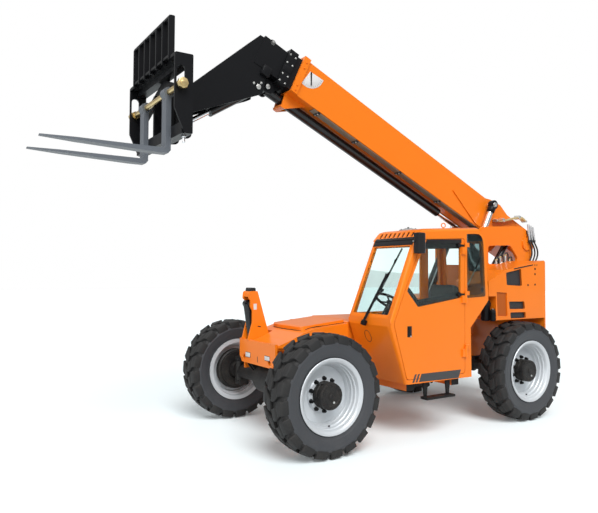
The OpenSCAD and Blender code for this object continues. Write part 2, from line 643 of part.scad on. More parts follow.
// Fork carriage with load backrest
module carriage() {
    color([0.08, 0.08, 0.085]) on_nose() {
        box([2330, -690, 3240], [2436, 690, 3360]);
        box([2330, -690, 3930], [2430, 690, 4025]);
        for (y = [-240, 190]) box([2330, y, 3240], [2400, y + 50, 3830]);
        difference() {
            box([2330, -55, 3240], [2372, 55, 3931]);
            side(-80, 80) polygon(rounded([[2300, 3480], [2400, 3480], [2400, 3600], [2300, 3600]], 5));
            translate([2300, 0, 0]) rotate([90, 0, 90]) linear_extrude(100)
                polygon(rounded([[-22, 3640], [22, 3640], [22, 3820], [-22, 3820]], 21));
        }
        for (y = [-55, 33]) box([2331, y, 3470], [2371, y + 22, 3610]);
        both() translate([2334, 0, 0]) rotate([90, 0, 90]) linear_extrude(40)
            polygon([[0, 3931], [70, 3931], [691, 3705], [691, 3600], [600, 3632], [0, 3860]]);
        both() difference() {
            side(690, 715) polygon(rounded([[2330, 3240], [2412, 3240], [2520, 3480], [2520, 4023], [2330, 4025]],
                                           [10, 20, 60, 14, 14]));
            side(680, 730) polygon(rounded([[2414, 3679], [2502, 3679], [2502, 3904], [2414, 3904]], 43.9, 8));
        }
        both() box([2429, 560, 3990], [2520, 691, 4022]);
        box([2429, -580, 3990], [2475, 580, 4025]);
        for (i = [-3:3]) side(i * 184 - 10, i * 184 + 10)
            polygon(rounded([[2467, 3990], [2530, 3990], [2530, 4437], [2467, 4437]], [2, 2, 24, 10], 3));
        for (z = [4020, 4412]) box([2472, -560, z], [2522, 560, z + 24]);
    }
}

// Bar the forks hang on
module fork_shaft() {
    color([0.75, 0.62, 0.28]) on_nose() {
        bar_y(fork_shaft_p, 30, -750, 750);
        both() bar_y(fork_shaft_p, 43, 715, 740);
        both() bar_y(fork_shaft_p, 43, 660, 690);
    }
}

// Pair of pallet forks
module forks() {
    color([0.35, 0.36, 0.37]) on_nose() both() difference() {
        union() {
            bar_y(fork_shaft_p, 56, tine_y - 63, tine_y + 63);
            side(tine_y - 63, tine_y + 63) polygon([[2436, 3709], [2436, 3120], [2462, 3088], [2620, 3088],
                [2490 + tine_len, 3126], [2490 + tine_len, 3140], [2512, 3140], [2490, 3162], [2490, 3709]]);
        }
        bar_y(fork_shaft_p, 30.05, 0, 800);
        translate([2490 + tine_len, tine_y, 3000]) linear_extrude(300) {
            polygon([[-320, 64], [0, 26], [10, 26], [10, 80], [-320, 80]]);
            polygon([[-320, -64], [0, -26], [10, -26], [10, -80], [-320, -80]]);
        }
    }
}

// Lift cylinder barrels, one each side of the boom
module lift_barrels() {
    color([0.08, 0.08, 0.085]) both() translate([0, lift_y, 0]) along(lift_a, lift_b) {
        difference() {
            union() {
                bar_x(68, 40, 1560);
                rotate([90, 0, 0]) cylinder(r = 66, h = 60, center = true);
            }
            bar_x(42 + gap, 1510, 1570);
            bar_x(56, 90, 1511);
        }
        rotate([90, 0, 0]) cylinder(r = 32, h = 192, center = true);
    }
}

// Lift cylinder rods
module lift_rods() {
    color([0.85, 0.85, 0.87]) both() translate([0, lift_y, 0]) along(lift_a, lift_b) {
        bar_x(42, 900, dist(lift_a, lift_b));
        translate([dist(lift_a, lift_b), 0, 0]) rotate([90, 0, 0]) cylinder(r = 62, h = 70, center = true);
        translate([dist(lift_a, lift_b), 40, 0]) rotate([90, 0, 0]) cylinder(r = 34, h = 120);
    }
}

// Levelling cylinder at the tail
module slave_barrel() {
    color([0.08, 0.08, 0.085]) translate([0, slave_y, 0]) along(slave_a, slave_b) {
        difference() {
            union() {
                bar_x(46, 20, 520);
                rotate([90, 0, 0]) cylinder(r = 46, h = 50, center = true);
            }
            bar_x(24 + gap, 480, 530);
            bar_x(36, 60, 481);
            rotate([90, 0, 0]) cylinder(r = 24 + gap, h = 120, center = true);
        }
    }
}
module slave_rod() {
    color([0.85, 0.85, 0.87]) translate([0, slave_y, 0]) along(slave_a, slave_b) {
        bar_x(24, 260, dist(slave_a, slave_b));
        translate([dist(slave_a, slave_b), 0, 0]) rotate([90, 0, 0]) cylinder(r = 40, h = 50, center = true);
    }
}

// Steering knuckle with king pin and spindle
module knuckle(x, s) {
    color([0.12, 0.12, 0.125]) translate([x, 0, axle_z]) mirror([0, s < 0 ? 1 : 0, 0]) {
        translate([0, king_y, 0]) cylinder(r = 72, h = 240, center = true);
        translate([0, king_y, 0]) cylinder(r = 30, h = 380, center = true);
        translate([0, king_y, 0]) rotate([-90, 0, 0]) cylinder(r = 110, h = 190);
        translate([0, king_y, 0]) rotate([-90, 0, 0]) cylinder(r = 60, h = 300);
    }
}
module knuckle_fl() { knuckle(front_x, 1); }
module knuckle_fr() { knuckle(front_x, -1); }
module knuckle_rl() { knuckle(rear_x, 1); }
module knuckle_rr() { knuckle(rear_x, -1); }

// Tyre: carcass with slanted lugs, its axis along Y
module tyre(x, s) {
    h = tyre_w / 2;
    color([0.06, 0.06, 0.062]) translate([x, s * wheel_y, axle_z]) rotate([-90, 0, 0]) {
        rotate_extrude($fn = 64) polygon([[seat_r, -146], [396, -152], [425, -174], [490, -h], [565, -h + 8],
            [585, -h + 30], [597, 0], [585, h - 30], [565, h - 8], [490, h], [425, 174], [396, 152], [seat_r, 146]]);
        for (i = [0:lug_count - 1]) for (t = [-1, 1])
            rotate([0, 0, (i + (t > 0 ? 0.5 : 0)) * 360 / lug_count])
                translate([0, 0, t * 84]) rotate([t * 24, 0, 0])
                    translate([555, -36, -96]) cube([tyre_od / 2 - 559.2, 72, 192]);
    }
}
module tyre_fl() { tyre(front_x, 1); }
module tyre_fr() { tyre(front_x, -1); }
module tyre_rl() { tyre(rear_x, 1); }
module tyre_rr() { tyre(rear_x, -1); }

// Steel wheel with its planetary hub
module wheel(x, s) {
    color([0.8, 0.8, 0.8]) translate([x, s * wheel_y, axle_z]) mirror([0, s < 0 ? 1 : 0, 0]) rotate([-90, 0, 0])
        rotate_extrude($fn = 64) polygon([[60 + gap, -60], [165, -60], [175, -48], [315, -48], [315, -120],
            [340, -150], [340, -173], [rim_r, -173], [rim_r, -158], [seat_r, -151], [seat_r, -60], [332, -40],
            [332, 60], [seat_r, 90], [seat_r, 151], [rim_r, 158], [rim_r, 173], [340, 173], [340, 100], [322, 60],
            [322, -20], [200, -20], [172, 10], [140, 14], [140, 130], [118, 150], [0, 150], [0, 60],
            [60 + gap, 60]]);
}
module wheel_fl() { wheel(front_x, 1); }
module wheel_fr() { wheel(front_x, -1); }
module wheel_rl() { wheel(rear_x, 1); }
module wheel_rr() { wheel(rear_x, -1); }

raised() main_frame();
raised() tower_left();
raised() tower_right();
raised() front_hood();
raised() mid_cover();
raised() sway_cylinder();
front_axle();
rear_axle();
raised() engine();
raised() rear_cover_left();
raised() rear_cover_right();
raised() cover_meshes();
raised() counterweight();
raised() side_tank();
raised() filter_canister();
raised() tail_hoses();
raised() cab_shell();
raised() cab_roof();
raised() cab_glass();
raised() cab_door();
raised() door_glass();
raised() seat();
raised() steering_column();
raised() cab_fittings();
raised() cab_step();
raised() boom_outer();
raised() boom_lines();
raised() boom_mid();
raised() extend_barrel();
raised() boom_fly();
raised() tilt_barrel();
raised() tilt_rod();
raised() coupler();
raised() carriage();
raised() fork_shaft();
raised() forks();
raised() lift_barrels();
raised() lift_rods();
raised() slave_barrel();
raised() slave_rod();
knuckle_fl();
knuckle_fr();
knuckle_rl();
knuckle_rr();
tyre_fl();
tyre_fr();
tyre_rl();
tyre_rr();
wheel_fl();
wheel_fr();
wheel_rl();
wheel_rr();
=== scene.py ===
import json
import math

import bmesh
import bpy
from mathutils import Matrix, Vector
from mathutils.bvhtree import BVHTree

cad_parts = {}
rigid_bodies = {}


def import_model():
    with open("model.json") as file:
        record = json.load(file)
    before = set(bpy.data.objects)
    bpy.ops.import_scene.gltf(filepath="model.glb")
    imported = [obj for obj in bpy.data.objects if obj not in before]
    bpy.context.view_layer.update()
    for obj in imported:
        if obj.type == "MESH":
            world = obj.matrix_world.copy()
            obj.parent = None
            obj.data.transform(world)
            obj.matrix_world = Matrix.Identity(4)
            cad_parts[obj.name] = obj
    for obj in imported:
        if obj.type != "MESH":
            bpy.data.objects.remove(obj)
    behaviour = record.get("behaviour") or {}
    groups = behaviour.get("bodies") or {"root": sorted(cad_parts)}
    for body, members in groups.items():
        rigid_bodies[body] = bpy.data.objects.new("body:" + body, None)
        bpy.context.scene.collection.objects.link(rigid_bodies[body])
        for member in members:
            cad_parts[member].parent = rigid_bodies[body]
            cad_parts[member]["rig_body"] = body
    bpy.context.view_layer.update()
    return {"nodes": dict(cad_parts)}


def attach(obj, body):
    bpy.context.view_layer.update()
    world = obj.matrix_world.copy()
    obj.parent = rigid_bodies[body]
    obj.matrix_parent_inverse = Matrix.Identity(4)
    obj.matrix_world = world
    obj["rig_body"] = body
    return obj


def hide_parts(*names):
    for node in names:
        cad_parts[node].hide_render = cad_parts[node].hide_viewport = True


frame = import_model()
scene = bpy.context.scene

# Places taken from the machine's frame, in metres
FRONT_X = 1.0
REAR_X = -2.16
WHEEL_Y = 1.055
AXLE_Z = 0.635
PIVOT = Vector((-3.13, 0.0, 2.34))
BOOM_ANGLE = math.radians(24.5)
BOOM_SIDE = 0.21
CAB_OUT = 1.17
COVER_OUT = 1.0
RECESS_FLOOR = 0.986
OUT = Vector((0.0, 1.0, 0.0))
UP = Vector((0.0, 0.0, 1.0))

WHEELS = {"fl": (FRONT_X, 1), "fr": (FRONT_X, -1), "rl": (REAR_X, 1), "rr": (REAR_X, -1)}


# Camera at the photograph's viewing angle

CAMERA_AT = (4.627, 6.2025, 1.878)
CAMERA_YAW = math.radians(32.464)
CAMERA_PITCH = math.radians(2.0)
CAMERA_ROLL = math.radians(0.2775)
CAMERA_LENS = 36.37
CAMERA_SENSOR = 36.0
CAMERA_SHIFT = (0.0064, -0.0064)
CAMERA_REACH = 200.0


def place_camera():
    data = bpy.data.cameras.new("studio_camera")
    data.lens = CAMERA_LENS
    data.sensor_width = CAMERA_SENSOR
    data.shift_x, data.shift_y = CAMERA_SHIFT
    data.clip_end = CAMERA_REACH
    camera = bpy.data.objects.new("studio_camera", data)
    scene.collection.objects.link(camera)
    level = math.cos(CAMERA_PITCH)
    ahead = Vector((-math.sin(CAMERA_YAW) * level, -math.cos(CAMERA_YAW) * level, math.sin(CAMERA_PITCH)))
    turn = ahead.to_track_quat("-Z", "Y").to_matrix().to_4x4()
    roll = Matrix.Rotation(CAMERA_ROLL, 4, "Z")
    camera.matrix_world = Matrix.Translation(CAMERA_AT) @ turn @ roll
    scene.camera = camera


place_camera()


# Shader nodes and the group shared by the finishes

DUST_BROWN = (0.42, 0.36, 0.29)
PAINT_PEEL = 260.0

def socket(group, name, way, kind, value=None):
    made = group.interface.new_socket(name=name, in_out=way, socket_type="NodeSocket" + kind)
    if value is not None:
        made.default_value = value
    return made


def node(tree, kind, **settings):
    made = tree.nodes.new("ShaderNode" + kind)
    for key, value in settings.items():
        setattr(made, key, value)
    return made


def wire(tree, a, out, b, into):
    tree.links.new(a.outputs[out], b.inputs[into])


def noise(tree, coords, scale, detail=4.0, rough=0.55):
    made = node(tree, "TexNoise")
    made.inputs["Scale"].default_value = scale
    made.inputs["Detail"].default_value = detail
    made.inputs["Roughness"].default_value = rough
    tree.links.new(coords, made.inputs["Vector"])
    return made


def ramp(tree, value, low, high, to_low=0.0, to_high=1.0):
    made = node(tree, "MapRange")
    made.inputs["From Min"].default_value = low
    made.inputs["From Max"].default_value = high
    made.inputs["To Min"].default_value = to_low
    made.inputs["To Max"].default_value = to_high
    tree.links.new(value, made.inputs["Value"])
    return made.outputs["Result"]


def math_node(tree, kind, a, b):
    made = node(tree, "Math", operation=kind)
    for i, value in enumerate((a, b)):
        if isinstance(value, (int, float)):
            made.inputs[i].default_value = value
        else:
            tree.links.new(value, made.inputs[i])
    return made.outputs[0]


def mix_colour(tree, factor, a, b, blend="MIX"):
    made = node(tree, "Mix", data_type="RGBA", blend_type=blend)
    for i, value in ((0, factor), (6, a), (7, b)):
        if isinstance(value, (int, float, tuple)):
            made.inputs[i].default_value = value
        else:
            tree.links.new(value, made.inputs[i])
    return made.outputs[2]


def make_site_dust():
    """Tone drift, dust on tops and low down, and the paint's fine peel."""
    g = bpy.data.node_groups.new("site_dust", "ShaderNodeTree")
    socket(g, "Color", "INPUT", "Color", (0.5, 0.5, 0.5, 1.0))
    socket(g, "Dust Color", "INPUT", "Color", (*DUST_BROWN, 1.0))
    socket(g, "Dust", "INPUT", "Float", 0.2)
    socket(g, "Roughness", "INPUT", "Float", 0.3)
    socket(g, "Peel Scale", "INPUT", "Float", PAINT_PEEL)
    socket(g, "Tone", "INPUT", "Float", 0.06)
    socket(g, "Color", "OUTPUT", "Color")
    socket(g, "Roughness", "OUTPUT", "Float")
    socket(g, "Height", "OUTPUT", "Float")
    given = g.nodes.new("NodeGroupInput")
    out = g.nodes.new("NodeGroupOutput")
    place = node(g, "TexCoord").outputs["Object"]
    broad = noise(g, place, 1.7, 5.0).outputs["Fac"]
    cloud = noise(g, place, 9.0, 6.0, 0.65).outputs["Fac"]
    speck = noise(g, place, 70.0, 5.0, 0.7).outputs["Fac"]
    peel = noise(g, place, PAINT_PEEL, 2.0)
    g.links.new(given.outputs["Peel Scale"], peel.inputs["Scale"])
    split = node(g, "SeparateXYZ")
    wire(g, node(g, "NewGeometry"), "Normal", split, "Vector")
    where = node(g, "SeparateXYZ")
    g.links.new(place, where.inputs[0])
    tops = ramp(g, split.outputs["Z"], 0.35, 0.95)
    lows = ramp(g, where.outputs["Z"], 1.15, 0.15)
    lie = math_node(g, "ADD", math_node(g, "MULTIPLY", tops, 0.55), math_node(g, "MULTIPLY", lows, 0.75))
    grain = ramp(g, math_node(g, "MULTIPLY", cloud, speck), 0.16, 0.40)
    mask = math_node(g, "MULTIPLY", math_node(g, "MULTIPLY", lie, grain), given.outputs["Dust"])
    shade = math_node(g, "MULTIPLY", math_node(g, "SUBTRACT", broad, 0.5), given.outputs["Tone"])
    bright = math_node(g, "ADD", shade, 1.0)
    tinted = node(g, "VectorMath", operation="SCALE")
    g.links.new(given.outputs["Color"], tinted.inputs[0])
    g.links.new(bright, tinted.inputs["Scale"])
    colour = mix_colour(g, mask, tinted.outputs[0], given.outputs["Dust Color"])
    g.links.new(colour, out.inputs["Color"])
    rough = math_node(g, "ADD", given.outputs["Roughness"], math_node(g, "MULTIPLY", mask, 0.45))
    smear = math_node(g, "MULTIPLY", math_node(g, "SUBTRACT", cloud, 0.5), 0.10)
    g.links.new(math_node(g, "ADD", rough, smear), out.inputs["Roughness"])
    height = math_node(g, "ADD", peel.outputs["Fac"], math_node(g, "MULTIPLY", mask, 0.6))
    g.links.new(height, out.inputs["Height"])
    return g


SITE_DUST = make_site_dust()


def finish(name, colour, rough, metallic=0.0, dust=0.15, dust_colour=DUST_BROWN, peel=PAINT_PEEL,
           depth=0.05, tone=0.08, coat=0.0, coat_rough=0.05, specular=0.5):
    """A finish laid on Object coordinates: colour, dust, roughness and bump from the shared group."""
    m = bpy.data.materials.new(name)
    m.use_nodes = True
    m.diffuse_color = (*colour, 1.0)
    t = m.node_tree
    shader = t.nodes["Principled BSDF"]
    g = t.nodes.new("ShaderNodeGroup")
    g.node_tree = SITE_DUST
    g.inputs["Color"].default_value = (*colour, 1.0)
    g.inputs["Dust Color"].default_value = (*dust_colour, 1.0)
    g.inputs["Dust"].default_value = dust
    g.inputs["Roughness"].default_value = rough
    g.inputs["Peel Scale"].default_value = peel
    g.inputs["Tone"].default_value = tone
    bump = node(t, "Bump")
    bump.inputs["Strength"].default_value = depth
    bump.inputs["Distance"].default_value = 0.002
    wire(t, g, "Color", shader, "Base Color")
    wire(t, g, "Roughness", shader, "Roughness")
    wire(t, g, "Height", bump, "Height")
    wire(t, bump, "Normal", shader, "Normal")
    shader.inputs["Metallic"].default_value = metallic
    shader.inputs["Coat Weight"].default_value = coat
    shader.inputs["Coat Roughness"].default_value = coat_rough
    shader.inputs["Specular IOR Level"].default_value = specular
    return m


orange_paint = finish("orange_paint", (0.84, 0.195, 0.008), 0.30, dust=0.08, depth=0.03, coat=0.12,
                      specular=0.22)
shaded_orange = finish("shaded_orange", (0.40, 0.085, 0.006), 0.42, dust=0.08, depth=0.03, specular=0.2)
black_paint = finish("black_paint", (0.0072, 0.0076, 0.0088), 0.36, dust=0.06, depth=0.06, specular=0.13)
barrel_black = finish("barrel_black", (0.0080, 0.0084, 0.0096), 0.20, dust=0.06, depth=0.03, specular=0.42)
cast_black = finish("cast_black", (0.0085, 0.0085, 0.0092), 0.50, dust=0.15, peel=120.0, depth=0.35,
                    specular=0.25)
fork_grey = finish("fork_grey", (0.115, 0.13, 0.15), 0.42, dust=0.12, peel=180.0, depth=0.10)
chrome_rod = finish("chrome_rod", (0.78, 0.79, 0.81), 0.12, metallic=1.0, dust=0.05, peel=500.0, depth=0.02)
zinc_gold = finish("zinc_gold", (0.66, 0.50, 0.24), 0.32, metallic=1.0, dust=0.10, peel=40.0, depth=0.08,
                   tone=0.5)
zinc_bright = finish("zinc_bright", (0.62, 0.62, 0.60), 0.34, metallic=1.0, dust=0.1, peel=90.0, depth=0.10,
                     tone=0.3)
# Darker pipe metal: plated steel, darkened further as painted shade under the boom
zinc_pipe_and_shade = finish("zinc_pipe_and_shade", (0.22, 0.20, 0.16), 0.36, metallic=0.8, dust=0.15, peel=90.0, depth=0.10,
                   tone=0.3)
rim_silver = finish("rim_silver", (0.55, 0.585, 0.615), 0.34, metallic=0.2, dust=0.18, peel=320.0)
tyre_black = finish("tyre_black", (0.0155, 0.0155, 0.016), 0.62, dust=0.30,
                    dust_colour=(0.10, 0.092, 0.082), peel=150.0, depth=0.40, tone=0.30, specular=0.3)
sidewall_black = finish("sidewall_black", (0.038, 0.041, 0.047), 0.50, dust=0.22,
                        dust_colour=(0.12, 0.115, 0.11), peel=220.0, depth=0.15, tone=0.20, specular=0.45)
hose_black = finish("hose_black", (0.014, 0.014, 0.015), 0.46, dust=0.2, peel=600.0, depth=0.25)
seal_black = finish("seal_black", (0.009, 0.009, 0.010), 0.48, dust=0.06, peel=400.0, depth=0.15,
                    specular=0.25)
moulded_black = finish("moulded_black", (0.011, 0.011, 0.012), 0.44, dust=0.08, peel=420.0, depth=0.30,
                       specular=0.22)
seat_vinyl = finish("seat_vinyl", (0.020, 0.020, 0.022), 0.50, dust=0.08, peel=320.0, depth=0.40)
sleeve_white = finish("sleeve_white", (0.66, 0.66, 0.66), 0.40, dust=0.10, depth=0.03)
sleeve_grey = finish("sleeve_grey", (0.42, 0.43, 0.44), 0.38, dust=0.12, depth=0.03)
band_grey = finish("band_grey", (0.030, 0.031, 0.034), 0.40, dust=0.08, depth=0.03)
plate_grey = finish("plate_grey", (0.30, 0.32, 0.32), 0.45, dust=0.15, peel=200.0, depth=0.12)

HOLE_PITCH = 0.018
HOLE_BLACK = (0.006, 0.006, 0.006)


def punched(m):
    """Round holes in rows over a finish, seen from the machine's side."""
    t = m.node_tree
    shader = t.nodes["Principled BSDF"]
    split = node(t, "SeparateXYZ")
    t.links.new(node(t, "TexCoord").outputs["Object"], split.inputs[0])
    waves = []
    for axis in "XZ":
        turns = math_node(t, "MULTIPLY", split.outputs[axis], math.tau / HOLE_PITCH)
        waves.append(math_node(t, "SINE", turns, 0.0))
    holes = ramp(t, math_node(t, "MULTIPLY", *waves), 0.05, 0.25)
    under = shader.inputs["Base Color"].links[0].from_socket
    t.links.new(mix_colour(t, holes, under, (*HOLE_BLACK, 1.0)), shader.inputs["Base Color"])
    return m


punched_screen = punched(finish("punched_screen", (0.036, 0.033, 0.036), 0.45, dust=0.12, specular=0.3))


def make_glass(name, tint):
    m = bpy.data.materials.new(name)
    m.use_nodes = True
    t = m.node_tree
    shader = t.nodes["Principled BSDF"]
    place = node(t, "TexCoord").outputs["Object"]
    film = noise(t, place, 3.0, 5.0).outputs["Fac"]
    colour = mix_colour(t, ramp(t, film, 0.3, 0.8), (*tint, 1.0), (*[c * 0.93 for c in tint], 1.0))
    t.links.new(colour, shader.inputs["Base Color"])
    t.links.new(ramp(t, film, 0.3, 0.8, 0.0, 0.03), shader.inputs["Roughness"])
    shader.inputs["Transmission Weight"].default_value = 1.0
    shader.inputs["IOR"].default_value = 1.2
    return m


tinted_glass = make_glass("tinted_glass", (0.80, 0.90, 0.885))
smoked_glass = make_glass("smoked_glass", (0.34, 0.42, 0.43))


# Light, floor and background

WHITE = (1.0, 1.0, 1.0, 1.0)
FLOOR_SEEN = (0.90, 0.98, 1.0, 1.0)
FLOOR_BOUNCE = (0.50, 0.50, 0.50, 1.0)
FLOOR_GLOW = 0.05
FLOOR_HALF = 60.0
# Name, strength, spread in degrees, way towards the lamp, and whether it shows in reflections
LAMPS = (("soft_key", 3.0, 34.0, (0.22, 0.66, 0.72), True),
         ("soft_front", 1.5, 50.0, (0.90, 0.28, 0.20), True),
         ("soft_fill", 0.40, 60.0, (-0.60, -0.62, 0.50), False))


def looked_at(tree, ray):
    """One where the camera looks, straight or through glass."""
    return math_node(tree, "MAXIMUM", ray.outputs["Is Camera Ray"], ray.outputs["Is Transmission Ray"])


def light_the_world():
    """White to look at. The light it gives fades with height, and its reflection grows with it."""
    world = bpy.data.worlds.new("studio_world")
    scene.world = world
    world.use_nodes = True
    t = world.node_tree
    back = t.nodes["Background"]
    back.inputs["Color"].default_value = WHITE
    ray = node(t, "LightPath")
    split = node(t, "SeparateXYZ")
    wire(t, node(t, "TexCoord"), "Generated", split, "Vector")
    height = split.outputs["Z"]
    reflection = math_node(t, "MULTIPLY", ray.outputs["Is Glossy Ray"], ramp(t, height, 0.1, 0.7, 0.25, 1.0))
    lit = math_node(t, "MAXIMUM", reflection, ramp(t, height, 0.0, 0.9, 0.46, 0.22))
    t.links.new(math_node(t, "MAXIMUM", looked_at(t, ray), lit), back.inputs["Strength"])


def hang_lamps():
    for name, energy, spread, towards, reflected in LAMPS:
        sun = bpy.data.lights.new(name, "SUN")
        sun.energy = energy
        sun.angle = math.radians(spread)
        lamp = bpy.data.objects.new(name, sun)
        lamp.rotation_mode = "QUATERNION"
        lamp.rotation_quaternion = Vector(towards).to_track_quat("Z", "Y")
        lamp.visible_glossy = reflected
        scene.collection.objects.link(lamp)


def lay_floor():
    """A pale floor that throws less light back than it shows."""
    bm = bmesh.new()
    bmesh.ops.create_grid(bm, x_segments=1, y_segments=1, size=FLOOR_HALF)
    mesh = bpy.data.meshes.new("pale_floor")
    bm.to_mesh(mesh)
    bm.free()
    floor = bpy.data.objects.new("pale_floor", mesh)
    scene.collection.objects.link(floor)
    m = bpy.data.materials.new("pale_floor")
    m.use_nodes = True
    t = m.node_tree
    shader = t.nodes["Principled BSDF"]
    shader.inputs["Roughness"].default_value = 0.9
    shader.inputs["Specular IOR Level"].default_value = 0.1
    shader.inputs["Emission Color"].default_value = WHITE
    ray = node(t, "LightPath")
    seen = math_node(t, "MAXIMUM", looked_at(t, ray), ray.outputs["Is Glossy Ray"])
    t.links.new(mix_colour(t, seen, FLOOR_BOUNCE, FLOOR_SEEN), shader.inputs["Base Color"])
    t.links.new(ramp(t, seen, 0.0, 1.0, 0.0, FLOOR_GLOW), shader.inputs["Emission Strength"])
    mesh.materials.append(m)


scene.view_settings.view_transform = "Standard"
light_the_world()
hang_lamps()
lay_floor()


# Planes and outlines

def at_side(y):
    """Outlines in x and z, with depth running inwards from y."""
    return Matrix(((1, 0, 0, 0), (0, 0, -1, y), (0, 1, 0, 0), (0, 0, 0, 1)))


def at_front(x):
    """Outlines in y and z, with depth running forwards from x."""
    return Matrix(((0, 0, 1, x), (1, 0, 0, 0), (0, 1, 0, 0), (0, 0, 0, 1)))


def facing(at, normal, up=(0.0, 0.0, 1.0)):
    """A place whose local Z looks along the normal."""
    z = Vector(normal).normalized()
    x = Vector(up).cross(z)
    if x.length < 1e-4:
        x = Vector((1.0, 0.0, 0.0))
    x.normalize()
    turn = Matrix((x, z.cross(x), z)).transposed().to_4x4()
    return Matrix.Translation(at) @ turn


def leaning(foot, head):
    """A plane across the machine from a foot to a head in x and z: local X is y, local Y runs up it."""
    rise = Vector((head[0] - foot[0], 0.0, head[1] - foot[1])).normalized()
    turn = Matrix((OUT, rise, OUT.cross(rise))).transposed().to_4x4()
    return Matrix.Translation((foot[0], 0.0, foot[1])) @ turn


def raised(plane, height):
    """The same plane, moved along its own Z."""
    return plane @ Matrix.Translation((0.0, 0.0, height))


def oblong(x0, y0, x1, y1):
    return [(x0, y0), (x1, y0), (x1, y1), (x0, y1)]


BOOM = Matrix.Translation(PIVOT) @ Matrix.Rotation(-BOOM_ANGLE, 4, "Y")
SCREEN = leaning((0.185, 1.385), (-0.190, 2.265))
VISOR = leaning((-0.200, 2.290), (-0.290, 2.384))
LEFT = Matrix.Identity(4)
RIGHT = Matrix.Diagonal((1.0, -1.0, 1.0, 1.0))


# Shaping helpers

def bevel(bm, edges, width, segments=2, clamp=True):
    bmesh.ops.bevel(bm, geom=list(edges), offset=width, offset_type="OFFSET", segments=segments, profile=0.5,
                    affect="EDGES", clamp_overlap=clamp, material=-1)


def sharp_edges(bm, degrees):
    limit = math.radians(degrees)
    return [e for e in bm.edges if len(e.link_faces) == 2 and e.calc_face_angle(0.0) > limit]


def graft(bm, part, place=LEFT, index=0):
    """Adds a finished form to a mesh, at its place and in its finish."""
    bmesh.ops.transform(part, matrix=place, verts=part.verts)
    bmesh.ops.recalc_face_normals(part, faces=part.faces)
    for f in part.faces:
        f.material_index = index
    mesh = bpy.data.meshes.new("graft")
    part.to_mesh(mesh)
    part.free()
    bm.from_mesh(mesh)
    bpy.data.meshes.remove(mesh)


def block(bm, low, high, place=LEFT, ease=0.003, index=0, segments=2):
    part = bmesh.new()
    bmesh.ops.create_cube(part, size=1.0)
    low, high = Vector(low), Vector(high)
    bmesh.ops.scale(part, vec=high - low, verts=part.verts)
    bmesh.ops.translate(part, vec=(low + high) / 2, verts=part.verts)
    if ease:
        bevel(part, part.edges, ease, segments)
    graft(bm, part, place, index)


def rod(bm, a, b, radius, end=None, place=LEFT, sides=24, ease=0.0, index=0):
    """A round or many-sided bar from a to b."""
    a, b = Vector(a), Vector(b)
    part = bmesh.new()
    bmesh.ops.create_cone(part, cap_ends=True, segments=sides, radius1=radius,
                          radius2=radius if end is None else end, depth=(b - a).length)
    if ease:
        bevel(part, [e for e in part.edges if any(len(f.verts) > 4 for f in e.link_faces)], ease)
    graft(bm, part, place @ facing((a + b) / 2, b - a), index)


def turned(bm, profile, place=LEFT, sides=64, index=0):
    """A turned form: the profile is radius and height along local Z."""
    part = bmesh.new()
    line = [part.verts.new((r, 0.0, h)) for r, h in profile]
    edges = [part.edges.new(pair) for pair in zip(line, line[1:])]
    bmesh.ops.spin(part, geom=line + edges, cent=(0, 0, 0), axis=(0, 0, 1), angle=math.tau, steps=sides,
                   use_merge=True, use_duplicate=False)
    bmesh.ops.remove_doubles(part, verts=part.verts, dist=1e-6)
    graft(bm, part, place, index)


def ring(bm, radius, wire_radius, place=LEFT, sides=48, index=0, facets=12):
    turns = [math.tau * k / facets for k in range(facets + 1)]
    section = [(radius + wire_radius * math.cos(a), wire_radius * math.sin(a)) for a in turns]
    turned(bm, section, place, sides, index)


def plate(bm, outline, depth, place=LEFT, ease=0.0015, index=0, rim=0.0):
    """A flat form of an outline, or only its rim, raised along local Z."""
    part = bmesh.new()
    face = part.faces.new([part.verts.new((x, y, 0.0)) for x, y in outline])
    if rim:
        bmesh.ops.inset_region(part, faces=[face], thickness=rim, use_even_offset=True)
        bmesh.ops.delete(part, geom=[face], context="FACES")
    made = bmesh.ops.extrude_face_region(part, geom=list(part.faces))["geom"]
    top = [v for v in made if isinstance(v, bmesh.types.BMVert)]
    bmesh.ops.translate(part, vec=(0.0, 0.0, depth), verts=top)
    bmesh.ops.recalc_face_normals(part, faces=part.faces)
    if ease:
        bevel(part, sharp_edges(part, 40.0), ease)
    graft(bm, part, place, index)


def tube(bm, points, radius, place=LEFT, index=0, facets=3):
    """A smooth round tube through points."""
    route = bpy.data.curves.new("route", "CURVE")
    route.dimensions = "3D"
    route.bevel_depth = radius
    route.bevel_resolution = facets
    route.use_fill_caps = True
    spline = route.splines.new("BEZIER")
    spline.bezier_points.add(len(points) - 1)
    spline.resolution_u = 8
    for knot, point in zip(spline.bezier_points, points):
        knot.co = point
        knot.handle_left_type = "AUTO"
        knot.handle_right_type = "AUTO"
    obj = bpy.data.objects.new("route", route)
    part = bmesh.new()
    part.from_mesh(obj.to_mesh())
    obj.to_mesh_clear()
    bpy.data.objects.remove(obj)
    bpy.data.curves.remove(route)
    bmesh.ops.remove_doubles(part, verts=part.verts, dist=1e-6)
    graft(bm, part, place, index)


def bolt(bm, at, axis, across, place=LEFT, index=0, washer=True):
    """A hexagon head on its washer, standing on a face."""
    at, axis = Vector(at), Vector(axis).normalized()
    if washer:
        rod(bm, at, at + axis * across * 0.10, across * 0.95, place=place, sides=20, index=index)
    rod(bm, at, at + axis * across * 0.62, across * 0.56, place=place, sides=6, ease=across * 0.05,
        index=index)


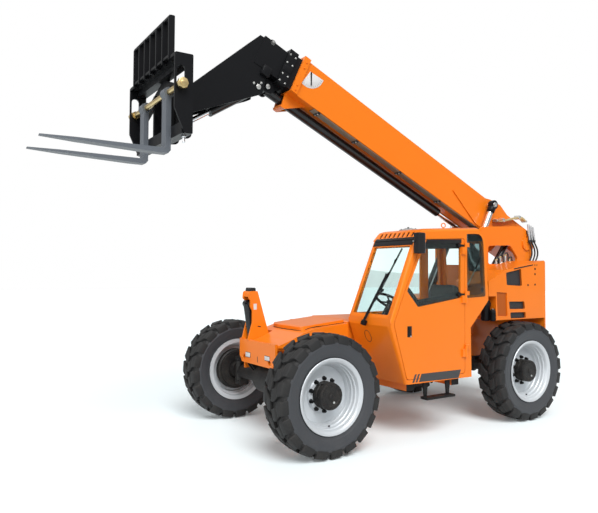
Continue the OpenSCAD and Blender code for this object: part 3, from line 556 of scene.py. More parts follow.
def rounded(points, radius, steps=5):
    """An outline with its corners as curves."""
    out = []
    for i, point in enumerate(points):
        a, b, c = Vector(points[i - 1]), Vector(point), Vector(points[(i + 1) % len(points)])
        u, v = (a - b).normalized(), (c - b).normalized()
        size = radius[i] if isinstance(radius, (list, tuple)) else radius
        reach = size / math.tan(math.acos(u.dot(v)) / 2)
        for k in range(steps + 1):
            t = k / steps
            out.append(b + u * reach * (1 - t) ** 2 + v * reach * t ** 2)
    return out


def grown(points, by):
    """An outline moved outwards by a distance, corners kept."""
    area = sum(a[0] * b[1] - b[0] * a[1] for a, b in zip(points, points[1:] + points[:1]))
    turn = 1.0 if area > 0 else -1.0
    out = []
    for i, point in enumerate(points):
        a, b, c = Vector(points[i - 1]), Vector(point), Vector(points[(i + 1) % len(points)])
        n1 = Vector(((b - a).y, -(b - a).x)).normalized() * turn
        n2 = Vector(((c - b).y, -(c - b).x)).normalized() * turn
        out.append(b + (n1 + n2) * (by / (1 + n1.dot(n2))))
    return out


def piece(name, bm, body, *finishes, sharp=38.0, slot=None, stands_for=(), soft=False):
    """Makes the bmesh an object in place, smooth but for its sharp edges, riding on a body."""
    for f in bm.faces:
        f.smooth = True
    for e in bm.edges:
        e.smooth = e.calc_face_angle(math.pi) < math.radians(sharp)
    mesh = bpy.data.meshes.new(name)
    bm.to_mesh(mesh)
    bm.free()
    for m in finishes:
        mesh.materials.append(m)
    obj = bpy.data.objects.new(name, mesh)
    scene.collection.objects.link(obj)
    if soft:
        keep = obj.modifiers.new("even_normals", "WEIGHTED_NORMAL")
        keep.keep_sharp = True
        keep.weight = 80
    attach(obj, body)
    if stands_for:
        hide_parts(*stands_for)
    return obj


# The solids, with their edges eased

EASE_TRIES = 6
THROWN_OFF = 1.5
KEPT_AWAY = 4.0
TURNED_OVER = -0.2
SLIVER = 1e-9


def too_tight(bm, skin, width):
    """Middles of the faces that a bevel threw off the surface or turned over."""
    spots = []
    for f in bm.faces:
        middle = f.calc_center_median()
        _, normal, _, away = skin.find_nearest(middle)
        if away > THROWN_OFF * width or (normal.dot(f.normal) < TURNED_OVER and f.calc_area() > SLIVER):
            spots.append(middle)
    return spots


def near_any(edge, spots, reach):
    a, b = edge.verts[0].co, edge.verts[1].co
    run = b - a
    for spot in spots:
        t = min(1.0, max(0.0, (spot - a).dot(run) / max(run.length_squared, 1e-12)))
        if (a + run * t - spot).length < reach:
            return True
    return False


def eased(source, width, sharp):
    """A copy with its sharp edges rounded, but not where a spot is too tight for the radius."""
    skin = BVHTree.FromBMesh(source)
    tight = []
    for _ in range(EASE_TRIES):
        bm = source.copy()
        edges = [e for e in sharp_edges(bm, sharp) if not near_any(e, tight, KEPT_AWAY * width)]
        bevel(bm, edges, width, clamp=False)
        spots = too_tight(bm, skin, width)
        if not spots:
            return bm
        tight += spots
        bm.free()
    return source.copy()


def softened(node_name, finish_used, width=0.003, slot=None, sharp=28.0):
    """A CAD node's own form with its edges eased, as a bent or ground edge is."""
    source = bmesh.new()
    source.from_mesh(frame["nodes"][node_name].data)
    bmesh.ops.remove_doubles(source, verts=source.verts, dist=2e-5)
    bmesh.ops.dissolve_limit(source, angle_limit=math.radians(0.4), verts=source.verts, edges=source.edges)
    bm = eased(source, width, sharp)
    source.free()
    for f in bm.faces:
        f.material_index = 0
    body = frame["nodes"][node_name]["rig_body"]
    return piece(node_name + "_skin", bm, body, finish_used, sharp=50.0, slot=slot, stands_for=(node_name,),
                 soft=True)


def repaint(obj, finish_used, chosen):
    """Gives a second finish to the faces whose middles are chosen."""
    obj.data.materials.append(finish_used)
    for face in obj.data.polygons:
        if chosen(face.center):
            face.material_index = 1


ORANGE_NODES = ("main_frame tower_left tower_right front_hood mid_cover rear_cover_left rear_cover_right "
                "counterweight side_tank cab_shell cab_roof cab_door boom_outer").split()
BLACK_NODES = "boom_mid boom_fly coupler carriage cab_step".split()
BARREL_NODES = "sway_cylinder extend_barrel tilt_barrel lift_barrels slave_barrel".split()
CAST_NODES = "front_axle rear_axle engine knuckle_fl knuckle_fr knuckle_rl knuckle_rr".split()
ROD_NODES = "tilt_rod lift_rods slave_rod".split()
BRACKET_TOP = 0.66
RAIL_OUT = 0.362
PIPES_FROM = 0.09


def dress_frame():
    for name in ORANGE_NODES:
        skin = softened(name, orange_paint, slot="orange_paint")
        if name == "main_frame":
            repaint(skin, black_paint, lambda c: c.z < BRACKET_TOP and abs(c.y) > RAIL_OUT)
        if name == "rear_cover_left":
            repaint(skin, shaded_orange, lambda c: abs(c.y - RECESS_FLOOR) < 0.002)
    for name in BLACK_NODES:
        softened(name, black_paint, slot="black_paint")
    for name in BARREL_NODES:
        softened(name, barrel_black, slot="black_paint")
    for name in CAST_NODES:
        softened(name, cast_black, slot="cast_black")
    for name in ROD_NODES:
        softened(name, chrome_rod, slot="chrome_rod", width=0.002)
    lines = softened("boom_lines", chrome_rod, slot="chrome_rod", width=0.002)
    # The pipes along the boom's underside get the darker metal, partly painted shade under the boom
    repaint(lines, zinc_pipe_and_shade, lambda c: c.y > PIPES_FROM)
    softened("fork_shaft", zinc_gold, slot="plated_steel")
    softened("forks", fork_grey, slot="grey_steel", width=0.004)
    for name in ("cab_glass", "door_glass"):
        pane = frame["nodes"][name]
        pane.data.materials.clear()
        pane.data.materials.append(tinted_glass)


dress_frame()


# Wheels and tyres

ALONG_AXLE = facing((0.0, 0.0, 0.0), OUT)
LUGS = 20
LUG_SLANT = math.tan(math.radians(24.0))
LUG_START = 0.006
LUG_REACH = 0.180
LUG_END_DRAFT = 0.012
LUG_WIDTH = 0.150
LUG_SIDE_DRAFT = 0.016
LUG_WAIST = 0.020
LUG_WAVE = 0.016
LUG_TOP = 0.6345
LUG_EASE = 0.006
SIPE_DEPTH = 0.010
CARCASS = 0.584
SHOULDER_DROP = 0.046
CROWN_DROP = 0.020
HALF_TREAD = 0.185
TREAD_MID = 0.088
TREAD_RADIUS = 0.6
TREAD_FROM = 0.556
SIDEWALL = [(0.356, 0.146), (0.374, 0.150), (0.392, 0.152), (0.398, 0.158), (0.406, 0.164), (0.414, 0.166),
            (0.424, 0.167), (0.432, 0.1725), (0.440, 0.1745), (0.450, 0.1760), (0.470, 0.181), (0.492, 0.184),
            (0.510, 0.184), (0.515, 0.1860), (0.523, 0.1860), (0.528, 0.184), (0.548, 0.180), (0.566, 0.174),
            (0.580, 0.160), (0.592, 0.135), (0.600, 0.070)]


def add_lug(bm, turn, side):
    """One tread lug: drafted, bent round the carcass, stepped down over the shoulder."""
    part = bmesh.new()
    bmesh.ops.create_cube(part, size=1.0)
    long_edges = [e for e in part.edges if abs((e.verts[0].co - e.verts[1].co).y) > 0.5]
    bmesh.ops.subdivide_edges(part, edges=long_edges, cuts=9)
    for v in part.verts:
        run = v.co.y + 0.5
        rise = v.co.z + 0.5
        out = LUG_START + run * (LUG_REACH - LUG_END_DRAFT * rise)
        base = CARCASS - SHOULDER_DROP * run ** 3
        sipe = SIPE_DEPTH if abs(run - 0.5) < 0.01 else 0.0
        crown = LUG_TOP - CROWN_DROP * (out / HALF_TREAD) ** 4 - sipe
        radius = base + (crown - base) * rise
        width = LUG_WIDTH - LUG_SIDE_DRAFT * rise - LUG_WAIST * math.cos(run * math.pi) * (1.0 - run)
        wave = LUG_WAVE * math.sin(run * math.tau)
        angle = turn + (v.co.x * width - (out - TREAD_MID) * LUG_SLANT + wave) / TREAD_RADIUS
        v.co = (radius * math.cos(angle), side * out, -radius * math.sin(angle))
    bmesh.ops.recalc_face_normals(part, faces=part.faces)
    bevel(part, sharp_edges(part, 42.0), LUG_EASE)
    graft(bm, part)


def tyre_form():
    """Sidewalls and carcass turned in one, with two rows of lugs half a pitch apart."""
    bm = bmesh.new()
    section = [(r, -h) for r, h in SIDEWALL] + [(r, h) for r, h in reversed(SIDEWALL)]
    turned(bm, section + section[:1], ALONG_AXLE, 128, index=1)
    for f in bm.faces:
        middle = f.calc_center_median()
        if math.hypot(middle.x, middle.z) > TREAD_FROM:
            f.material_index = 0
    for side in (1, -1):
        for i in range(LUGS):
            add_lug(bm, math.tau * (i + (0.5 if side > 0 else 0.0)) / LUGS, side)
    return bm


RIM_FACE = [(0.356, 0.150), (0.384, 0.156), (0.392, 0.163), (0.393, 0.170), (0.388, 0.175), (0.378, 0.174),
            (0.366, 0.166), (0.352, 0.160), (0.346, 0.152), (0.343, 0.122), (0.337, 0.113), (0.330, 0.109),
            (0.327, 0.082), (0.321, 0.073), (0.316, 0.069), (0.314, 0.034), (0.308, 0.024), (0.303, 0.019),
            (0.300, -0.006), (0.292, -0.017), (0.210, -0.020), (0.195, -0.016), (0.176, 0.006),
            (0.168, 0.010), (0.140, 0.012)]
RIM_BACK = [(0.140, -0.030), (0.165, -0.060), (0.175, -0.048), (0.288, -0.048), (0.298, -0.056),
            (0.302, -0.084), (0.312, -0.090), (0.316, -0.116), (0.330, -0.122), (0.340, -0.150),
            (0.344, -0.173), (0.392, -0.173), (0.392, -0.158), (0.356, -0.151)]
# Axle housing drawn as a large black drum behind the disc, partly painted shade in the wheel's hollow back
HOUSING_AND_SHADE_DRUM = [(0.115, -0.062), (0.246, -0.062), (0.256, -0.074), (0.256, -0.128), (0.240, -0.140), (0.228, -0.140),
        (0.222, -0.160), (0.120, -0.166)]
HUB = [(0.0, 0.148), (0.094, 0.146), (0.099, 0.150), (0.128, 0.150), (0.136, 0.146), (0.139, 0.136),
       (0.139, 0.098), (0.133, 0.094), (0.133, 0.070), (0.140, 0.066), (0.141, 0.012), (0.141, -0.02),
       (0.0, -0.02)]
PLUG = [(0.0, 0.158), (0.020, 0.158), (0.024, 0.154), (0.036, 0.152), (0.036, 0.140)]
NUTS = 10
NUT_CIRCLE = 0.1675
# Length and radius of a wheel nut's washer, hexagon and stud end, with their sides and eased edges
NUT_STEPS = ((0.006, 0.023, 24, 0.0), (0.032, 0.0185, 6, 0.002), (0.043, 0.010, 12, 0.001))
COVER_BOLTS = 12
COVER_BOLT_CIRCLE = 0.115
HUB_RIBS = 6


def round_axle(radius, angle, out):
    return Vector((radius * math.cos(angle), out, radius * math.sin(angle)))


def rim_form():
    """Silver rim and disc with the black planetary hub, its nuts, cover bolts, plug and valve."""
    bm = bmesh.new()
    turned(bm, RIM_FACE + RIM_BACK + RIM_FACE[:1], ALONG_AXLE, 96)
    turned(bm, HUB, ALONG_AXLE, 64, index=1)
    # The black drum: the axle housing, and painted shade inside the wheel's back
    turned(bm, HOUSING_AND_SHADE_DRUM, ALONG_AXLE, 64, index=1)
    for i in range(NUTS):
        foot = round_axle(NUT_CIRCLE, math.tau * (i + 0.5) / NUTS, 0.008)
        for tall, radius, sides, ease in NUT_STEPS:
            rod(bm, foot, foot + OUT * tall, radius, sides=sides, ease=ease, index=2)
    for i in range(COVER_BOLTS):
        at = round_axle(COVER_BOLT_CIRCLE, math.tau * i / COVER_BOLTS, 0.150)
        bolt(bm, at, OUT, 0.013, index=1, washer=False)
    for i in range(HUB_RIBS):
        rib = round_axle(0.136, math.tau * i / HUB_RIBS, 0.0)
        rod(bm, rib + OUT * 0.070, rib + OUT * 0.094, 0.012, sides=12, index=1)
    turned(bm, PLUG, ALONG_AXLE, 32, index=1)
    filler = round_axle(0.066, 4.3, 0.146)
    rod(bm, filler, filler + OUT * 0.010, 0.013, sides=6, ease=0.001, index=3)
    stem = round_axle(0.322, -1.62, 0.045)
    rod(bm, stem, stem + Vector((0.0, 0.034, 0.010)), 0.0055, sides=12, index=3)
    rod(bm, stem + Vector((0.0, 0.030, 0.009)), stem + Vector((0.0, 0.046, 0.0135)), 0.0075, sides=12,
        ease=0.001, index=2)
    return bm


def dress_wheels():
    tyre = tyre_form()
    rim = rim_form()
    for key, (x, side) in WHEELS.items():
        where = Matrix.Translation((x, side * WHEEL_Y, AXLE_Z))
        bm = tyre.copy()
        bmesh.ops.transform(bm, matrix=where, verts=bm.verts)
        piece("tyre_" + key + "_tread", bm, "roadwheel_" + key, tyre_black, sidewall_black, sharp=34.0,
              slot="tyre_rubber", stands_for=("tyre_" + key,))
        bm = rim.copy()
        bmesh.ops.transform(bm, matrix=where @ (LEFT if side > 0 else RIGHT), verts=bm.verts)
        if side < 0:
            bmesh.ops.recalc_face_normals(bm, faces=bm.faces)
        piece("wheel_" + key + "_rim", bm, "roadwheel_" + key, rim_silver, cast_black, black_paint,
              zinc_bright, sharp=34.0, slot="wheel_paint", stands_for=("wheel_" + key,))
    tyre.free()
    rim.free()


dress_wheels()


# Cab glass surrounds, door furniture and fittings

SCREEN_SEAL = oblong(0.472, 0.037, 1.118, 0.898)
SCREEN_HEAD = [(0.450, 0.900), (1.140, 0.900), (1.134, 0.957), (0.456, 0.957)]
VISOR_FOOT = [(0.462, -0.020), (1.128, -0.020), (1.124, 0.022), (0.466, 0.022)]
# Black plate behind the visor's slots: painted shade inside them
VISOR_SLOT_SHADE = oblong(0.480, 0.022, 1.110, 0.118)
BROW = leaning((-0.190, 2.265), (-0.200, 2.290))
BROW_STRIP = [(0.456, -0.006), (1.134, -0.006), (1.130, 0.032), (0.460, 0.032)]
QUARTER_PANE = [(-1.352, 1.612), (-1.030, 1.598), (-1.030, 2.368), (-1.312, 2.382)]
QUARTER_ARCS = (0.030, 0.015, 0.015, 0.130)
QUARTER_BORDER = QUARTER_PANE[:2] + [(-1.030, 2.292), (-1.300, 2.305)]
BORDER_ARCS = (0.030, 0.015, 0.001, 0.001)
QUARTER_BAND = [(-1.310, 2.290), (-1.031, 2.277), (-1.031, 2.366), (-1.240, 2.375), (-1.292, 2.340)]
QUARTER_LATCH = Vector((-1.303, CAB_OUT - 0.012, 1.692))
STRUT_HEAD = Vector((-1.345, 1.10, 2.118))
STRUT_NECK = Vector((-1.245, 1.10, 1.947))
STRUT_FOOT = Vector((-1.125, 1.10, 1.742))
PRINT = 0.0015


def dress_cab_surrounds():
    """Seals and dark borders of the windows, a black plate behind the visor's slots as painted shade, and the
    quarter pane with its latch and strut.
    """
    bm = bmesh.new()
    plate(bm, rounded(SCREEN_SEAL, 0.020), 0.010, raised(SCREEN, -0.006), rim=0.020)
    for strip, plane in ((SCREEN_HEAD, SCREEN), (VISOR_FOOT, VISOR), (BROW_STRIP, BROW)):
        plate(bm, strip, 0.006, raised(plane, -0.003))
    face = at_side(CAB_OUT + PRINT)
    plate(bm, grown(rounded(QUARTER_BORDER, BORDER_ARCS), -0.001), PRINT, face, ease=0.0, rim=0.022)
    plate(bm, QUARTER_BAND, PRINT, face, ease=0.0)
    # Painted shade: a black plate close behind the visor's slots
    plate(bm, VISOR_SLOT_SHADE, 0.004, raised(VISOR, -0.016))
    piece("cab_seals_and_shade", bm, "chassis", seal_black, slot="hose_rubber")
    bm = bmesh.new()
    plate(bm, rounded(QUARTER_PANE, QUARTER_ARCS), 0.004, at_side(CAB_OUT + 0.0055), ease=0.001)
    piece("quarter_film", bm, "chassis", smoked_glass, slot="tinted_glass")
    bm = bmesh.new()
    rod(bm, QUARTER_LATCH, QUARTER_LATCH + OUT * 0.010, 0.026, sides=32, ease=0.002)
    rod(bm, QUARTER_LATCH, QUARTER_LATCH + OUT * 0.018, 0.013, ease=0.002)
    rod(bm, STRUT_HEAD, STRUT_FOOT, 0.0055, sides=12, index=1)
    rod(bm, STRUT_HEAD, STRUT_NECK, 0.009, sides=12)
    for end in (STRUT_HEAD, STRUT_FOOT):
        rod(bm, end - OUT * 0.014, end + OUT * 0.052, 0.008, sides=12)
    piece("quarter_latch", bm, "chassis", moulded_black, zinc_bright, slot="black_paint")


DOOR_GLASS = [(-0.925, 1.600), (-0.228, 1.507), (-0.060, 1.690), (-0.335, 2.235), (-0.925, 2.262)]
DOOR_SILL = DOOR_GLASS[:3] + [(-0.096, 1.745), (-0.250, 1.590), (-0.925, 1.672)]
# Black strip inside the top of the door's pane: painted shade under the roof
DOOR_TOP_SHADE = [(-0.925, 2.262), (-0.335, 2.235), (-0.300, 2.168), (-0.925, 2.190)]
DOOR_BROW = [(-0.934, 2.255), (-0.340, 2.228), (-0.362, 2.277), (-0.934, 2.303)]
DOOR_PROUD = 0.0035
DOOR_STRIP_INSET = 0.026
HANDLE_POCKET = oblong(-0.138, 1.166, -0.052, 1.308)
HANDLE = [(-0.116, 1.200), (-0.084, 1.200), (-0.080, 1.292), (-0.120, 1.292)]
DOOR_LOCK = Vector((-0.110, CAB_OUT, 1.184))
DOOR_CLAMPS = ((-0.905, 2.225), (-0.905, 1.640))
DOOR_BAND = [(-0.236, 0.664), (-0.276, 0.754), (-0.915, 0.751), (-0.876, 0.656)]
BAND_DEPTH = 0.0018
SLASHES = (-0.176, -0.224)


def dress_door():
    """Seal and brow of the door's pane, a dark strip along its sill and a black strip inside its top as
    painted shade under the roof, its handle and clamps, and the dark band.
    """
    bm = bmesh.new()
    plate(bm, grown(rounded(DOOR_GLASS, 0.016), 0.009), 0.014, at_side(CAB_OUT + DOOR_PROUD), rim=0.026)
    # The sill strip and the top strip; the top one is painted shade under the roof
    for strip in (DOOR_SILL, DOOR_TOP_SHADE):
        plate(bm, strip, 0.004, at_side(CAB_OUT - DOOR_STRIP_INSET), ease=0.0)
    plate(bm, DOOR_BROW, 0.006, at_side(CAB_OUT + DOOR_PROUD))
    piece("door_seal_and_shade", bm, "door", seal_black, slot="hose_rubber")
    bm = bmesh.new()
    pocket = rounded(HANDLE_POCKET, 0.020)
    plate(bm, pocket, 0.006, at_side(CAB_OUT + 0.004), rim=0.012)
    plate(bm, grown(pocket, -0.010), 0.003, at_side(CAB_OUT + PRINT), ease=0.0, index=1)
    plate(bm, rounded(HANDLE, 0.010), 0.012, at_side(CAB_OUT + 0.012), ease=0.003)
    rod(bm, DOOR_LOCK, DOOR_LOCK + OUT * 0.009, 0.009, sides=20, ease=0.001, index=2)
    for x, z in DOOR_CLAMPS:
        knob = Vector((x, CAB_OUT - 0.016, z))
        rod(bm, knob, knob + OUT * 0.020, 0.024, sides=28, ease=0.003)
        block(bm, (x - 0.075, CAB_OUT - 0.002, z - 0.013), (x, CAB_OUT + 0.010, z + 0.013))
    piece("door_furniture", bm, "door", moulded_black, seal_black, zinc_bright, slot="black_paint")
    bm = bmesh.new()
    face = at_side(CAB_OUT + 0.0012)
    plate(bm, DOOR_BAND, BAND_DEPTH, face, ease=0.0)
    for x in SLASHES:
        slash = [(x, 0.755), (x - 0.028, 0.755), (x + 0.012, 0.664), (x + 0.040, 0.664)]
        plate(bm, slash, BAND_DEPTH, face, ease=0.0)
    piece("door_band", bm, "door", band_grey, slot="black_paint")


MIRROR = Matrix.Translation((-0.182, 1.2355, 2.230))
MIRROR_SHELL = oblong(-0.048, -0.118, 0.048, 0.118)
MIRROR_ARM = [(-0.198, 1.172, 2.160), (-0.196, 1.190, 2.170), (-0.188, 1.206, 2.200), (-0.170, 1.210, 2.250)]
WIPER_FOOT = Vector((0.757, -0.072))
WIPER_ELBOW = Vector((0.912, 0.500))
WIPER_ARMS = (-0.010, 0.014)
BLADE_LOW = Vector((0.838, 0.190))
BLADE_HIGH = Vector((1.016, 0.850))
ROOF = leaning((-0.350, 2.405), (-1.215, 2.456))
BEACON_AT = (0.700, 0.170, 0.0)
BEACON_PLATE = [(0.0, -0.006), (0.112, -0.006), (0.112, 0.010), (0.104, 0.017), (0.070, 0.019),
                (0.046, 0.026), (0.040, 0.030), (0.0, 0.030)]
BEACON_BOLTS = 4
BEACON_BOLT_CIRCLE = 0.086


def dress_mirror():
    """Mirror on its arm and bracket, in place of the plain fittings."""
    bm = bmesh.new()
    shell = rounded(MIRROR_SHELL, 0.018)
    plate(bm, shell, 0.100, MIRROR @ at_front(-0.055), ease=0.014)
    plate(bm, grown(shell, -0.008), 0.004, MIRROR @ at_front(-0.058), index=1)
    tube(bm, MIRROR_ARM, 0.010)
    block(bm, (-0.222, CAB_OUT - 0.002, 2.130), (-0.176, 1.182, 2.218), ease=0.004)
    rod(bm, (-0.150, 1.204, 2.252), (-0.128, 1.204, 2.252), 0.018, ease=0.003)
    rod(bm, (-0.130, 1.204, 2.252), (-0.118, 1.204, 2.252), 0.009, sides=6, ease=0.001, index=2)
    piece("mirror", bm, "chassis", moulded_black, chrome_rod, zinc_bright, slot="black_paint",
          stands_for=("cab_fittings",))


def dress_wiper():
    """Twin arms from the foot to the elbow, and the blade in its three holders."""
    bm = bmesh.new()
    on_glass = raised(SCREEN, 0.020)
    along = (WIPER_ELBOW - WIPER_FOOT).normalized()
    across = Vector((along.y, -along.x))
    for shift in WIPER_ARMS:
        a, b = WIPER_FOOT + across * shift, WIPER_ELBOW + across * shift
        rod(bm, (a.x, a.y, 0.006), (b.x, b.y, 0.016), 0.008, place=on_glass, sides=12)
    x, y = WIPER_FOOT
    block(bm, (x - 0.026, y - 0.030, -0.034), (x + 0.026, y + 0.030, 0.018), on_glass, ease=0.008)
    rod(bm, (x, y, 0.010), (x, y, 0.030), 0.012, place=on_glass, sides=6, ease=0.002)
    x, y = WIPER_ELBOW
    block(bm, (x - 0.022, y - 0.030, 0.004), (x + 0.022, y + 0.030, 0.022), on_glass, ease=0.004)
    for depth, radius, sides, index in ((0.006, 0.0065, 10, 0), (-0.008, 0.0035, 8, 1)):
        rod(bm, (*BLADE_LOW, depth), (*BLADE_HIGH, depth), radius, place=on_glass, sides=sides, index=index)
    for t in (0.25, 0.5, 0.75):
        x, y = BLADE_LOW.lerp(BLADE_HIGH, t)
        block(bm, (x - 0.010, y - 0.026, -0.002), (x + 0.010, y + 0.026, 0.014), on_glass)
    piece("wiper", bm, "chassis", black_paint, seal_black, slot="black_paint")


def dress_roof():
    """Beacon plate and lifting ring."""
    bm = bmesh.new()
    disc = ROOF @ Matrix.Translation(BEACON_AT)
    turned(bm, BEACON_PLATE, disc)
    for i in range(BEACON_BOLTS):
        a = math.tau * (i + 0.5) / BEACON_BOLTS
        at = (BEACON_BOLT_CIRCLE * math.cos(a), BEACON_BOLT_CIRCLE * math.sin(a), 0.017)
        bolt(bm, at, UP, 0.012, place=disc, index=1)
    rod(bm, (0.0, 0.0, 0.028), (0.0, 0.0, 0.042), 0.012, place=disc, ease=0.002, index=1)
    piece("beacon_plate", bm, "chassis", plate_grey, moulded_black, slot="plated_steel")
    bm = bmesh.new()
    ring(bm, 0.026, 0.006, facing((-0.716, 1.090, 2.462), (0.3, 1.0, 0.0)))
    rod(bm, (-0.716, 1.090, 2.418), (-0.716, 1.090, 2.436), 0.016, end=0.009, ease=0.001)
    piece("lifting_ring", bm, "chassis", orange_paint, slot="orange_paint")


CAB_FRONT = leaning((-0.050, 0.650), (0.185, 1.300))
SEAM_STEPS = 32


def dress_cab_front():
    """The oval seam of a cover below the windscreen."""
    bm = bmesh.new()
    turns = [math.tau * k / SEAM_STEPS for k in range(SEAM_STEPS + 1)]
    oval = [(0.725 + 0.052 * math.cos(a), 0.545 + 0.072 * math.sin(a), 0.0) for a in turns]
    tube(bm, oval, 0.0032, CAB_FRONT)
    piece("wiper_cover_seam", bm, "chassis", seal_black, slot="black_paint")


dress_cab_surrounds()
dress_door()
dress_mirror()
dress_wiper()
dress_roof()
dress_cab_front()


# Cab interior

COLUMN_FOOT = Vector((0.0, 0.80, 1.330))
COLUMN_AXIS = Vector((-0.150, 0.0, 0.230)).normalized()
COLUMN_LENGTH = 0.262
WHEEL_RADIUS = 0.185
WHEEL_SPOKES = 3
WHEEL_BOSS = [(0.0, 0.014), (0.028, 0.012), (0.046, 0.002), (0.050, -0.020), (0.036, -0.030)]
WHEEL_KNOB = [(0.008, 0.0), (0.008, 0.014), (0.019, 0.022), (0.022, 0.036), (0.017, 0.050), (0.0, 0.055)]
DASH = [(-0.082, 0.690), (0.138, 1.300), (0.138, 1.365), (0.020, 1.370), (-0.060, 1.250), (-0.160, 0.690)]
GAUGES = ((0.690, 0.034), (0.800, 0.030), (0.910, 0.034))
SWITCHES = 6
SWITCH_PITCH = 0.030
SEAT_FACE = facing((-0.770, 0.800, 1.000), UP, (-1.0, 0.0, 0.0))
SEAT_BACK = leaning((-0.975, 1.100), (-1.025, 1.760))
BACK_SHELL = [(0.605, 0.02), (0.995, 0.02), (0.985, 0.64), (0.615, 0.64)]
SEAT_FOLDS = 5
PAD_CUTS = 27
PAD_FULLNESS = 7
PAD_WAIST = 0.035
PAD_CROWN = 0.16
PAD_SEAM = 0.15
HEADLINER = [(-0.262, 2.258), (-1.292, 2.314), (-1.292, 2.328), (-0.262, 2.272)]
FLOOR_MAT = oblong(-1.050, 0.691, -0.080, 0.700)
MAT_RIBS = 9


def pad(bm, low, high, place, channels):
    """A stuffed pad: full edges, sides drawn in between the corners, a crowned face with sewn channels."""
    part = bmesh.new()
    bmesh.ops.create_cube(part, size=2.0)
    bmesh.ops.subdivide_edges(part, edges=part.edges, cuts=PAD_CUTS, use_grid_fill=True)
    low, high = Vector(low), Vector(high)
    middle, half = (low + high) / 2, (high - low) / 2
    for v in part.verts:
        u = v.co.copy()
        u *= max(abs(c) for c in u) / sum(abs(c) ** PAD_FULLNESS for c in u) ** (1 / PAD_FULLNESS)
        x = u.x * (1.0 - PAD_WAIST * (1.0 - u.y * u.y))
        y = u.y * (1.0 - PAD_WAIST * (1.0 - u.x * u.x))
        z = u.z
        if z > 0.0:
            seam = abs(math.sin(math.pi * channels * (u.y + 1.0) / 2.0))
            inside = (1.0 - u.x ** 8) * (1.0 - u.y ** 8)
            z += inside * (PAD_CROWN * (1.0 - u.x * u.x) - PAD_SEAM * (1.0 - seam) ** 5)
        v.co = middle + Vector((x * half.x, y * half.y, z * half.z))
    graft(bm, part, place)


def dress_seat():
    """Two pads on a folded base, with the back's shell, the armrest and the joystick."""
    bm = bmesh.new()
    pad(bm, (-0.23, -0.25, 0.0), (0.23, 0.25, 0.10), SEAT_FACE, 4)
    pad(bm, (0.59, 0.0, -0.05), (1.01, 0.66, 0.055), SEAT_BACK, 5)
    pads = piece("seat_pads", bm, "chassis", seat_vinyl, sharp=60.0, slot="seat_trim", stands_for=("seat",))
    bm = bmesh.new()
    block(bm, (-0.98, 0.64, 0.69), (-0.60, 0.96, 0.78), ease=0.010)
    for i in range(SEAT_FOLDS):
        inset = 0.012 if i % 2 else 0.030
        low = Vector((-0.97 + inset, 0.65 + inset, 0.775 + 0.034 * i))
        block(bm, low, (-0.61 - inset, 0.95 - inset, low.z + 0.037), ease=0.010, index=1)
    block(bm, (-1.00, 0.60, 0.945), (-0.56, 1.00, 1.002), ease=0.008)
    plate(bm, rounded(BACK_SHELL, 0.05), 0.020, raised(SEAT_BACK, -0.068), ease=0.006)
    block(bm, (-0.98, 0.500, 1.190), (-0.64, 0.560, 1.235), ease=0.014)
    rod(bm, (-0.90, 0.53, 0.97), (-0.92, 0.53, 1.20), 0.018)
    block(bm, (-0.94, 0.512, 0.955), (-0.86, 0.62, 0.985), ease=0.004)
    rod(bm, (-0.665, 0.53, 1.230), (-0.650, 0.53, 1.325), 0.010)
    rod(bm, (-0.652, 0.53, 1.310), (-0.636, 0.53, 1.420), 0.020, end=0.026, ease=0.007, sides=28)
    piece("seat_base", bm, "chassis", moulded_black, seal_black, slot="black_paint")


def dress_steering():
    """Dash with gauges and switches, and the steering wheel on its column and boot."""
    bm = bmesh.new()
    plate(bm, DASH, 0.470, at_side(1.030), ease=0.012)
    gauges = leaning(DASH[4], DASH[3])
    for y, radius in GAUGES:
        rod(bm, (y, 0.078, 0.002), (y, 0.078, -0.010), radius, place=gauges, sides=40, ease=0.003, index=1)
    for i in range(SWITCHES):
        shift = SWITCH_PITCH * i
        block(bm, (0.590 + shift, 0.018, -0.008), (0.612 + shift, 0.036, 0.002), gauges, ease=0.002, index=1)
    hub = COLUMN_FOOT + COLUMN_AXIS * COLUMN_LENGTH
    around = facing(hub, COLUMN_AXIS)
    ring(bm, WHEEL_RADIUS, 0.0155, around, 72)
    turned(bm, WHEEL_BOSS, around, 40)
    for i in range(WHEEL_SPOKES):
        turn = math.tau * i / WHEEL_SPOKES
        way = Vector((math.cos(turn), math.sin(turn), 0.0))
        rod(bm, way * 0.030 - UP * 0.008, way * 0.178, 0.010, place=around, sides=12)
    turned(bm, WHEEL_KNOB, around @ Matrix.Translation((0.0, WHEEL_RADIUS, 0.014)), 28)
    rod(bm, COLUMN_FOOT - COLUMN_AXIS * 0.02, hub - COLUMN_AXIS * 0.02, 0.032, sides=32)
    folds = [(0.078 - 0.010 * i - (0.010 if i % 2 else 0.0), 0.014 * i) for i in range(5)]
    turned(bm, folds, facing(COLUMN_FOOT, COLUMN_AXIS), 40, index=1)
    piece("steering", bm, "chassis", moulded_black, seal_black, slot="black_paint",
          stands_for=("steering_column",))


def dress_lining():
    """Headliner, ribbed floor mat and the post inside the right wall."""
    bm = bmesh.new()
    plate(bm, HEADLINER, 0.640, at_side(1.115), ease=0.003)
    plate(bm, FLOOR_MAT, 0.660, at_side(1.125), ease=0.002)
    for i in range(MAT_RIBS):
        x = -0.98 + 0.1 * i
        rod(bm, (x, 0.48, 0.700), (x, 1.11, 0.700), 0.005, sides=8)
    piece("cab_lining", bm, "chassis", moulded_black, slot="black_paint")
    bm = bmesh.new()
    block(bm, (-1.085, 0.441, 1.425), (-0.945, 0.472, 2.262), ease=0.010, segments=3)
    piece("inner_post", bm, "chassis", orange_paint, slot="orange_paint")


dress_seat()
dress_steering()
dress_lining()


# Boom mouth, nose and forks

